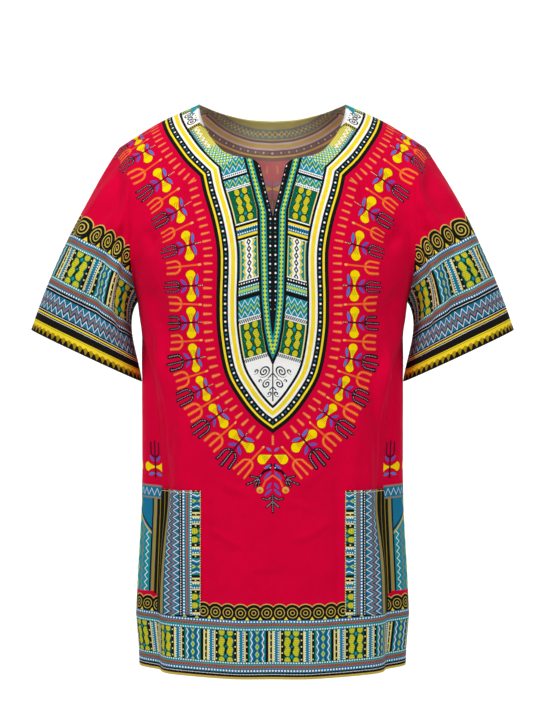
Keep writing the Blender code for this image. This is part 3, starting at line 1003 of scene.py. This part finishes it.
def centre_ornament():
    """Flower spray below the yoke's point, drawn for the right half and mirrored: a pair of
    pears, five pairs of leaves, two dark forks, two orange buds and a small dark tree."""
    made = Print("ornament_print", CRIMSON)
    x, z, _ = made.take("place")
    a = x.size()
    dark = (branch(a, z, (2.4, -485.6), (4.2, -491.6), (11.3, -494.3), (16.8, -500.6))
            & branch(a, z, (28.9, -500.6), (20.0, -502.5), (16.8, -506.5), (18.8, -512.3))
            & branch(a, z, (18.0, -503.0), (25.8, -508.3), (33.8, -511.2))
            & branch(a, z, (18.8, -504.0), (23.2, -514.3))
            & branch(a, z, (0, -525.6), (0, -547.5))
            & branch(a, z, (0, -526.7), (7.0, -531.2), (13.0, -529.4))
            & branch(a, z, (0.4, -533.9), (7.9, -540.7)))
    made.lay(dark < 1.75, SOOT)
    made.lay((dark < 0.42) & (a + z).every(2.6, 1.5) & ((a > 15) | (z < -524)), ASH)
    made.lay(length(a - 3.2, z + 489.5) < 0.8, WHITE)
    # orange forks beside the pears, leaning out at an even slope
    along, off = turned(a, z, 28.7, -480.3, -0.82)
    off = off.size()
    prongs = fork(off, along, 8.2, 7.8, (9.2, 22.5)) & limb(off, along, (0, 2), (0, 24))
    made.lay((off < 1.1) & along.within(-25.5, 1), ORANGE)
    made.lay((off < 1.3) & along.within(-25.5, -22.5), PEACH)
    made.lay(prongs < 1.55, ORANGE)
    made.lay((prongs < 0.38) & along.every(2.6, 1.5), PEACH)
    made.lay(limb(a, z, (0, -448.5), (0, -458.5)) < 1.65, FLAME)
    # buds on bent stems
    made.lay(branch(a, z, (0.8, -499.9), (9.8, -506.7), (12.8, -513.9)) < 1.1, ORANGE)
    bud = length((a - 16.6) * 0.95, z + 518.6)
    made.lay(bud < 4.6, ORANGE)
    made.lay(bud < 3.9, GOLD)
    made.lay(length(a - 17.0, z + 519.6) < 2.3, ORANGE)
    made.lay(length(a - 17.0, z + 519.9) < 1.0, OLIVE)
    along, off = turned(a, z, 1.4, -472.8, -0.44)
    fruit = pear(along, off, 13.2, 6.6, along * 0.5)
    made.lay(fruit < 0.8, RUST)
    made.lay(fruit < 0, SUN)
    made.lay(along.within(5.0, 12.5) & off.size().every(2.0, 0.8) & (fruit < -1.2), OLIVE)
    for at_a, at_z, angle, long, wide, colour in (
            (5.1, -465.6, 0.65, 4.1, 1.5, LEAF_BLUE), (6.8, -488.2, -0.54, 5.2, 1.5, LEAF_BLUE),
            (6.8, -499.6, -0.82, 7.4, 1.8, VIOLET), (4.9, -513.2, -0.92, 5.4, 1.6, VIOLET),
            (6.0, -521.5, -0.75, 6.5, 1.7, VIOLET)):
        made.lay(leaf(a, z, at_a, at_z, angle, long, wide), colour)
    return made.finish()


def print_of(name, *parts):
    """Material of parts of the print laid on the crimson field."""
    made = Print(name, CRIMSON)
    for part in parts:
        part(made)
    return made.finish()


# Places of the prints in a panel's list of materials; the last is the centre ornament on the
# front and the side strip on the back.
PLAIN, RING_ZONE, BORDER, COLUMNS, PLACKET, COLLAR, HEM_ZONE, LAST = range(8)
# in millimetres: z at the ornament's top and foot, and how far it reaches from the middle at
# each depth below the shoulders; the side strip's width and top, and the top of the hem zone
ORNAMENT_TOP, ORNAMENT_FOOT = -461.5, -566
SPRAY_EDGE = ((440, 448, 458, 461, 466, 475, 477.5, 479, 484, 492, 500, 566),
              (0, 0, 7, 13, 19.5, 27, 33, 42, 47, 54, 57, 50))
STRIP_ZONE, STRIP_TOP, HEM_TOP = 96, 320, 102
PATTERN_INSIDE = 27.8


def corners_of(grid):
    """The four corner values of every face of a grid."""
    return np.stack([grid[1:, 1:], grid[:-1, 1:], grid[1:, :-1], grid[:-1, :-1]])


def body_zones(values, ornament):
    """Which print each face of a half panel takes, with the centre ornament or else the side
    strip. Borders between zones lie where both prints agree."""
    middle = {key: corners_of(grid).mean(axis=0) for key, grid in values.items()}
    far = corners_of(np.abs(values["ring"][:, :, 1])).max(axis=0)
    u, v = middle["cloth"][:, :, 0], middle["cloth"][:, :, 1]
    d_side, e = middle["side"][:, :, 0], middle["side"][:, :, 2]
    d_collar = middle["collar"][:, :, 0]
    d = np.maximum(d_side, d_collar)
    zone = np.full(u.shape, PLAIN)
    zone[(far < RING_REACH) & (d < -STROKE_REACH)] = RING_ZONE
    zone[d >= -STROKE_REACH] = BORDER
    zone[(d > PATTERN_INSIDE) & (d_side >= d_collar)] = COLUMNS
    zone[(d > PATTERN_INSIDE) & (d_side < d_collar)] = COLLAR
    if ornament:
        zone[(e > 0) & (d > PATTERN_INSIDE)] = PLACKET
        z = middle["collar"][:, :, 2]
        spray = u < np.interp(-z, SPRAY_EDGE[0], SPRAY_EDGE[1])
        zone[((d < -STROKE_REACH) | (z < ORNAMENT_TOP)) & (z > ORNAMENT_FOOT) & spray] = LAST
    else:
        zone[(middle["place"][:, :, 2] < STRIP_ZONE) & (v < STRIP_TOP)] = LAST
    zone[v < HEM_TOP] = HEM_ZONE
    return zone


def panel_piece(name, half, values, zone, open_rows, materials, turned_over, creases):
    """A body panel from its right half: mirrored, turned over if it looks backward, creased,
    made a closed sheet and given its prints. The creases leave the seams and the top edge where
    they are, and u and x count to the right side."""
    rows, cols = half.shape[:2]
    hold = (ramp(np.linspace(1, 0, cols), 0, 0.08)[None, :]
            * ramp(np.linspace(1, 0, rows), 0, 0.05)[:, None])
    keys = list(values)
    packed = np.concatenate([values[key] for key in keys] + [hold[:, :, None]], axis=2)
    points, faces, flat, side = whole(half, packed, open_rows)
    zones = np.concatenate([zone[:, ::-1], zone], axis=1).reshape(-1)
    if turned_over:
        faces = faces[:, ::-1]
    given = {key: flat[:, 3 * k:3 * k + 3] for k, key in enumerate(keys)}
    given["cloth"][:, 0] *= side
    given["place"][:, 0] *= side
    rise = flat[:, -1] * crease_rise(given["cloth"][:, 0], given["cloth"][:, 1], creases)
    size = area(points, faces)
    return cloth(name, points, faces, zones, given, materials, rise), size


# Creases: start u, v, end u, v, width and height in millimetres; u counts to the right side.
FRONT_CREASES = [
    # drags from the underarms, and the slack beside them
    (-198, 524, -126, 430, 15, -7.2), (-192, 486, -138, 366, 12, 5.8),
    (-184, 500, -152, 290, 14, -6.7), (-164, 470, -146, 240, 10, 4.9),
    (198, 526, 130, 444, 14, -6.7), (192, 490, 144, 350, 13, 6.1),
    (184, 500, 160, 276, 14, -7.0), (166, 460, 148, 230, 10, 4.6),
    # upright folds that hang from the chest to the pockets
    (-142, 420, -150, 120, 11, -5.2), (-118, 390, -112, 70, 13, 4.1),
    (-92, 320, -84, 40, 9, -3.2), (138, 420, 146, 110, 11, -5.5),
    (114, 400, 106, 60, 12, 4.1), (88, 300, 84, 30, 9, -2.9),
    (-154, 410, -174, 150, 13, -6.2), (152, 390, 170, 140, 13, -5.8),
    # waves of the hem between the pockets
    (-52, 230, -46, -60, 20, 4.6), (-4, 210, 2, -60, 20, -4.6), (44, 220, 50, -60, 20, 4.3),
    # small slack across the belly and the chest
    (-92, 196, -26, 168, 5, 1.9), (20, 176, 84, 206, 5, 1.7), (-74, 262, -24, 234, 6, 1.9),
    (28, 250, 80, 278, 6, 1.7), (-40, 140, 20, 150, 5, 1.4), (10, 232, 60, 222, 5, 1.4),
    (-176, 560, -138, 650, 10, -4.3), (176, 560, 140, 650, 10, -4.3),
    (-196, 600, -168, 560, 7, -3.5), (196, 604, 170, 562, 7, -3.5),
]
front_data = front_values(front)
plain = print_of("plain_crimson")
ring_material = print_of("ring_print", flower_ring)
border_material = print_of("border_print", yoke_border)
hem_material = print_of("hem_print", hem_print)
collar_material = collar_print()
front_materials = [plain, ring_material, border_material, columns_print(), placket_print(),
                   collar_material, hem_material, centre_ornament()]
slit_row = FINE_LOW + SLIT_ROW * FINE_UP + 1
front_piece, front_area = panel_piece("front_cloth", front, front_data,
                                      body_zones(front_data, True), slit_row,
                                      front_materials, False, FRONT_CREASES)
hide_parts("front")


# Back: one panel of the same cotton, plain below its part of the yoke and the ring, with a
# strip of pattern up each side seam and the hem band carried round.
def side_strip():
    """Strip beside the side seam on the back, counted inward from the seam: dark stripes, a
    teal field under a gable of gold lines, then a blue band with flowers above it."""
    made = Print("side_strip_print", CRIMSON)
    edge = made.take("place")[2]
    v = made.take("cloth")[1]
    strip = edge < 88
    field = strip & (v < 226)
    made.lay(field, made.stripes(edge, [
        (0, BLACK), (1.6, OLIVE), (3.0, BLACK), (8.0, GREY), (9.6, OLIVE), (12.0, GREY),
        (13.6, BLACK), (16.0, TEAL), (74, GREY), (77, OLIVE), (79, BLACK), (85, GOLD)]))
    lines(made, field & (v < 214), edge - wave(v, 9.1, 5.0), (22.0, 1.4, WHITE),
          (68.0, 1.4, WHITE), (31.0, 2.0, COPPER), (59.0, 2.0, COPPER))
    gable = v - 206 + (edge - 45).size() * 0.9
    made.fill(field & edge.within(16, 74), (gable > 0, SKY), (line(gable, 3.0), GOLD),
              (line(gable - 5, 2.6), BLACK))
    made.fill(field & edge.within(38, 52), (diamonds(v, 22, edge, 45, 10, 6), LIME),
              (diamonds(v, 22, edge, 45, 4, 2.4), GREEN))
    made.fill(strip & v.within(226, 244), (v > 0, SKY),
              (line(v - 235 + wave(edge, 9, 9), 1.5), WHITE),
              (line((v - 235).size() - 7.8, 2.4), GREY))
    # flowers above the band, as in the ring but smaller
    pa = (edge - 12).repeat(46).size()
    b = v - 268
    fruit = pear(pa, b, 12.0, 6.2, (pa / 12.0).do("POWER", 1.7) * 5.0 + 1.2)
    stems = (fork(pa, b, 20, 6.5, (6.5, 32)) < 1.4) | (limb(pa, b, (0, -14), (0, 34)) < 1.3)
    made.fill(edge < 90, (fruit < 0.7, RUST), (fruit < 0, SUN), (stems, MAROON),
              (leaf(pa, b, 6.4, -9.5, -0.2, 5.6, 2.0), LEAF_BLUE),
              (leaf(pa, b, 5.4, 11.0, 0.78, 5.2, 1.9), VIOLET))
    return made.finish()


# Creases of the back, counted in the same way.
BACK_CREASES = [
    (-160, 520, -120, 240, 14, -7.0), (160, 520, 124, 250, 14, -7.0),
    (-70, 440, -60, -60, 20, 6.1), (66, 430, 58, -60, 20, 6.1), (0, 470, 4, -60, 18, -6.1),
    (-110, 570, -26, 520, 10, -4.3), (110, 572, 30, 524, 10, -4.3),
    (-188, 540, -176, 300, 10, 4.9), (188, 540, 178, 300, 10, 4.9),
    (-104, 400, -98, 60, 12, -4.3), (102, 390, 96, 50, 12, -4.3),
]
back_data = front_values(back)
# the yoke's sides are on the front alone
back_data["side"][:, :, 0] = -1000
back_materials = [plain, ring_material, border_material, border_material, border_material,
                  collar_material, hem_material, side_strip()]
back_piece, back_area = panel_piece("back_cloth", back, back_data,
                                    body_zones(back_data, False), len(back),
                                    back_materials, True, BACK_CREASES)
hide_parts("back")




# Sleeves: short wide tubes set into the armholes, each cut in one with its seam under the arm.
# The print rises from the hem in bands, under a row of gold rings.
# in metres: x and z of the cuff's outer and inner edge, and its half depth and y
CUFF_OUT, CUFF_IN = (0.3270, -0.3085), (0.1770, -0.3785)
CUFF_HALF_DEPTH, CUFF_Y = 0.053, -0.010
SLEEVE_ROWS = 84
# in millimetres from the hem: where the gold rings stand, and the top of the printed zone
RINGS_LEVEL, SLEEVE_PRINT_TOP = 140.5, 172


def sleeve_form():
    """Grid of the right sleeve, rows from the armhole to the cuff. Each line along it is a
    Hermite curve from a point of the armhole to one of the cuff's oval; hanging folds then move
    it out from the middle of its row."""
    loop = np.concatenate([front[FINE_LOW:, -1], back[FINE_LOW:, -1][::-1][1:]])
    a = np.linspace(0, 2 * np.pi, len(loop))
    inner = np.array([CUFF_IN[0], CUFF_Y, CUFF_IN[1]])
    outer = np.array([CUFF_OUT[0], CUFF_Y, CUFF_OUT[1]])
    middle = (inner + outer) / 2
    cuff = middle - (outer - middle) * np.cos(a)[:, None]
    cuff[:, 1] -= CUFF_HALF_DEPTH * np.sin(a)
    high = (0.5 - 0.5 * np.cos(a))[:, None]
    start = (1 - high) * np.array([0.55, 0.0, -0.83]) + high * np.array([0.56, 0.0, -0.83])
    start[:, 1] -= 0.22 * np.sin(a)
    finish = (1 - high) * np.array([-0.12, 0.0, -0.99]) + high * np.array([0.31, 0.0, -0.95])
    reach = np.linalg.norm(cuff - loop, axis=1)[:, None]
    t = np.linspace(0, 1, SLEEVE_ROWS + 1)[:, None, None]
    grid = hermite(t, loop, start * reach, cuff, finish * reach)
    out = grid - grid[:, :-1].mean(axis=1, keepdims=True)
    out = out / np.linalg.norm(out, axis=2, keepdims=True)
    swell = ramp(t[:, :, 0], 0.08, 0.35) * (1 - 0.75 * ramp(t[:, :, 0], 0.6, 1.0))
    fold = 0 * a
    for at, height, width in ((1.75, -0.007, 0.22), (1.25, 0.004, 0.25), (2.25, 0.004, 0.25),
                              (4.55, -0.006, 0.25), (4.05, 0.004, 0.25)):
        fold = fold + height * bump(a, at, width)
    return grid + out * (swell * fold[None, :])[:, :, None]


def sleeve_print():
    """The sleeve's bands, upwards from the hem: olive teeth on black, yellow, dark lines, the
    zigzags, the wide row of blocks between copper cords, and the gold rings."""
    made = Print("sleeve_print", CRIMSON)
    u, v, _ = made.take("cloth")
    bands = made.stripes(v, [
        (0, BLACK), (9.5, YELLOW), (16.2, BLACK), (25.6, WHITE), (26.4, BLACK), (28.2, YELLOW),
        (30.0, BLACK), (31.8, WHITE), (32.6, BLACK), (34.6, SEA), (58.4, BLACK), (60.8, WHITE),
        (61.8, BLACK), (64.4, SKY), (69.0, COPPER), (74.0, TEAL), (79.2, BLACK), (124.8, TEAL),
        (129.2, COPPER), (134.2, SKY), (RINGS_LEVEL, BLACK)])
    made.lay(v < RINGS_LEVEL, bands)
    slope = u.repeat(8.5).size()
    tooth = slope * 2.0 + 0.8
    made.fill(v < 10.5, (v > tooth, OLIVE), (line(v - tooth, 1.1), BLACK))
    made.lay((v < 8) & line(v - tooth - 2.8, 0.7), RUST)
    made.lay(v.within(6, 11.5) & (v > 11.2 - slope * 0.8), YELLOW)
    made.lay(line(v - 14.8, 0.5), BLACK)
    zig = v.within(34.6, 58.4)
    off = v - 46.5 + wave(u, 10.4, 8.6)
    lines(made, zig, off, (-3.0, 1.6, PINE), (0, 2.6, COPPER))
    lines(made, zig, off.size(), (7.0, 1.5, WHITE), (10.4, 1.4, SKY))
    dotted_rows(made, u, v, (3.9, 66.6, 1.15), (3.5, 77.6, 1.05), (3.5, 126.6, 1.05),
                (4.2, 138.4, 1.3))
    cords(made, u, v, 2.8, 1.3, (69.4, 73.6), (129.6, 133.8))
    block_row(made, v.within(79.8, 124.2), u.size() * 0.77 - 48.4, (v - 102) * 0.92)
    gold_circles(made, u + 7.0, v - RINGS_LEVEL, 28.6, 13.0, True)
    return made.finish()


def past_armhole(data):
    """The ring's values along a panel's armhole, and their change in a millimetre across it."""
    edge, before = data["ring"][FINE_LOW:, -1], data["ring"][FINE_LOW:, -3]
    step = data["cloth"][FINE_LOW:, -1, :1] - data["cloth"][FINE_LOW:, -3, :1]
    return edge, (edge - before) / step * np.array([1, 1, 0])


sleeve = sleeve_form()
run_down = np.linalg.norm(np.diff(sleeve[::-1], axis=0), axis=2)
sleeve_v = np.vstack([np.zeros((1, sleeve.shape[1])), np.cumsum(run_down, axis=0)])[::-1]
round_run = np.cumsum(np.linalg.norm(np.diff(sleeve[-1], axis=0), axis=1))
sleeve_u = np.concatenate([[0], round_run])
sleeve_u = sleeve_u - sleeve_u[len(sleeve_u) // 2]
sleeve_values = np.stack([sleeve_u + 0 * sleeve_v, sleeve_v, 0 * sleeve_v], axis=2)
sleeve_values = sleeve_values.reshape(-1, 3) * 1000
sleeve_material = sleeve_print()
# the ring's outermost forks run over the seam: its values are carried straight on
from_seam = (sleeve_v.max(axis=0) - sleeve_v) * 1000
front_edge, front_change = past_armhole(front_data)
back_edge, back_change = past_armhole(back_data)
edge = np.concatenate([front_edge, back_edge[::-1][1:]])
change = np.concatenate([front_change, back_change[::-1][1:]])
sleeve_ring = (edge + change * from_seam[:, :, None]).reshape(-1, 3)
from_seam = from_seam.ravel()
# u counts round the sleeve, nought at its outer edge and less than nought in front
SLEEVE_CREASES = [
    # the deep fold that falls from the shoulder through the bands
    (-30, 262, -50, 148, 18, -8.8), (-50, 168, -88, 104, 17, -8.1), (-84, 120, -112, 26, 13, -6.1),
    (-14, 250, -30, 110, 13, 6.1), (-72, 240, -100, 150, 11, 5.4), (-62, 130, -84, 30, 10, 4.9),
    # folds that fall beside it from the armhole
    (-78, 212, -118, 146, 13, -6.5), (-104, 190, -142, 158, 9, -4.1),
    (-120, 176, -136, 60, 9, 4.1), (-150, 150, -168, 30, 10, -4.6),
    # back of the sleeve
    (66, 250, 60, 20, 14, -6.8), (110, 220, 118, 40, 14, 5.4), (150, 190, 160, 40, 11, -5.4),
    (24, 262, 26, 40, 10, -4.6),
]
for name, side in (("right", 1), ("left", -1)):
    points = sleeve.reshape(-1, 3) * np.array([side, 1, 1])
    faces = quads(np.arange(len(points)).reshape(sleeve.shape[:2])).reshape(-1, 4)
    faces = np.roll(faces, -1, axis=1)[:, ::-side]
    by_seam = from_seam[faces].max(axis=1) < RING_REACH
    by_ring = np.abs(sleeve_ring[:, 1][faces]).max(axis=1) < RING_REACH
    # plain cloth, the sleeve's own print, or the part of the ring that runs over the seam
    zones = (sleeve_values[:, 1][faces].mean(axis=1) < SLEEVE_PRINT_TOP).astype(int)
    zones[by_seam & by_ring] = 2
    rise = crease_rise(sleeve_values[:, 0] + 5 - 5 * side, sleeve_values[:, 1], SLEEVE_CREASES)
    rise = rise * ramp(from_seam, 0.0, 30.0)
    piece = cloth("sleeve_" + name + "_cloth", points, faces, zones,
                  {"cloth": sleeve_values, "ring": sleeve_ring},
                  [plain, sleeve_material, ring_material], rise)
    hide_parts("sleeve_" + name)
    area(points, faces)


# Pockets: two patch pockets of the striped part of the print, sewn on by their sides and foot
# and open at the top, each from its inner edge to the side seam.
POCKET_THICK, POCKET_LIFT = 0.0012, 0.0016


def pocket_print():
    """Upright bands counted by the front's own u, with a strip of the wide row of blocks at the
    inner edge, turned to run upwards."""
    made = Print("pocket_print", BLACK)
    u, v, _ = made.take("cloth")
    made.colour = made.stripes(u, [
        (0, BLACK), (105.8, TEAL), (109.7, COPPER), (113.3, SKY), (119.0, BLACK), (121.0, GREY),
        (122.4, BLACK), (123.7, SEA), (147.3, NAVY), (149.0, GREY), (151.2, OLIVE),
        (153.6, GREY), (155.4, OLIVE), (157.0, BLACK), (164.0, OLIVE), (165.4, BLACK)])
    block_row(made, u.within(95.6, 105.8), 186.5 - v, u - 84.6)
    dotted_rows(made, v, u, (3.4, 107.4, 1.0), (4.0, 117.3, 1.25), (3.2, 121.7, 0.7))
    cords(made, v, u, 2.6, 1.2, (110.1, 112.9))
    zig = u.within(123.7, 147.3)
    off = u - 135.4 + wave(v, 9.1, 8.4)
    lines(made, zig, off, (2.6, 1.4, PINE), (0, 2.4, COPPER))
    lines(made, zig, off.size(), (7.0, 1.5, WHITE), (10.2, 1.4, SKY))
    seams = line(u - 95.6, 1.0) | line(v - (POCKET_TOP - HEM) * 1000 + 2.2, 0.9)
    made.lay(seams & (u + v).every(3.2, 2.0), CREAM)
    return made.finish()


pocket_half = below_chest(col, False, np.linspace(POCKET_BOTTOM, POCKET_TOP, 61))
pocket_u, pocket_v = runs(pocket_half)
pocket_material = pocket_print()
# each pocket takes the front's columns from its inner edge outward, and the creases of the
# front, which fade before the side seam
own = slice(COLS_IN * FINE_COL, -1)
grid = pocket_half[:, own]
hold = ramp(np.linspace(1, 0, pocket_half.shape[1])[own], 0, 0.10) + 0 * grid[:, :, 0]
u = pocket_u[:, own].ravel() * 1000
v = (pocket_v[:, own] + (POCKET_BOTTOM - HEM)).ravel() * 1000
for name, side in (("right", 1), ("left", -1)):
    points = grid.reshape(-1, 3) * np.array([side, 1, 1])
    faces = quads(np.arange(len(points)).reshape(grid.shape[:2])).reshape(-1, 4)[:, ::side]
    rise = crease_rise(side * u, v, FRONT_CREASES) * hold.ravel() + POCKET_LIFT * 1000
    piece = cloth("pocket_" + name + "_cloth", points, faces, np.zeros(len(faces), int),
                  {"cloth": np.stack([u, v, 0 * u], axis=1)}, [pocket_material], rise,
                  POCKET_THICK)
    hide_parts("pocket_" + name)
    area(points, faces)


# Camera: at the photograph's place, level with the middle of the shirt and three metres away.
DISTANCE = 3.0
FRAME_HEIGHT, METRES_A_PIXEL = 711, 0.00136
camera_data = bpy.data.cameras.new("camera")
camera = bpy.data.objects.new("camera", camera_data)
bpy.context.scene.collection.objects.link(camera)
camera.location = (-0.0082, -DISTANCE, -0.3434)
camera.rotation_euler = (np.pi / 2, 0, 0)
camera_data.sensor_width = 36.0
camera_data.lens = camera_data.sensor_width * DISTANCE / (FRAME_HEIGHT * METRES_A_PIXEL)
bpy.context.scene.camera = camera

# Stage: a pale sweep whose floor lies below the hem and curves up behind, under soft light.
FLOOR, TOP, BEHIND, BEND, FAR = -1.25, 7.0, 4.4, 1.2, 9.0
sweep = np.array([(-FAR, FLOOR), (BEHIND - BEND, FLOOR)]
                 + [(BEHIND - BEND + BEND * np.sin(a), FLOOR + BEND - BEND * np.cos(a))
                    for a in np.linspace(0.1, np.pi / 2, 14)] + [(BEHIND, TOP)])
floor_mesh = bpy.data.meshes.new("sweep")
count = len(sweep)
floor_points = [(x, y, z) for x in (-FAR, FAR) for y, z in sweep]
floor_mesh.from_pydata(floor_points, [], [(k, k + count, k + count + 1, k + 1)
                                          for k in range(count - 1)])
floor_mesh.polygons.foreach_set("use_smooth", np.ones(count - 1, bool))
floor = bpy.data.objects.new("sweep", floor_mesh)
bpy.context.scene.collection.objects.link(floor)
paper = bpy.data.materials.new("pale_paper")
paper.use_nodes = True
paper_shader = paper.node_tree.nodes["Principled BSDF"]
paper_shader.inputs["Base Color"].default_value = (0.96, 0.96, 0.96, 1)
paper_shader.inputs["Roughness"].default_value = 0.9
floor_mesh.materials.append(paper)

world = bpy.data.worlds.new("studio")
world.use_nodes = True
glow = world.node_tree.nodes["Background"]
glow.inputs["Color"].default_value = (1, 1, 1, 1)
glow.inputs["Strength"].default_value = 0.20
bpy.context.scene.world = world
# place, size, power and target of each soft light: a pair high at the sides, one in front of
# the shirt, one above it, and two behind it that light the paper
for place, size, power, target in (((-1.6, -1.7, 1.8), 0.9, 45, (0, 0, -0.1)),
                                   ((1.6, -1.7, 1.7), 0.9, 31, (0, 0, -0.1)),
                                   ((0.1, -3.3, 0.4), 0.8, 6, (0, 0, -0.35)),
                                   ((0.0, -0.5, 2.0), 1.0, 8, (0, 0, -0.35)),
                                   ((-2.6, 3.0, 0.6), 1.4, 60, (0.0, 4.4, -1.0)),
                                   ((2.6, 3.0, 0.6), 1.4, 60, (0.0, 4.4, -1.0))):
    light = bpy.data.lights.new("softbox", "AREA")
    light.size = size
    light.energy = power
    lamp = bpy.data.objects.new("softbox", light)
    bpy.context.scene.collection.objects.link(lamp)
    lamp.location = place
    away = Vector(place) - Vector(target)
    lamp.rotation_euler = away.to_track_quat("Z", "Y").to_euler()
bpy.context.scene.view_settings.view_transform = "Standard"
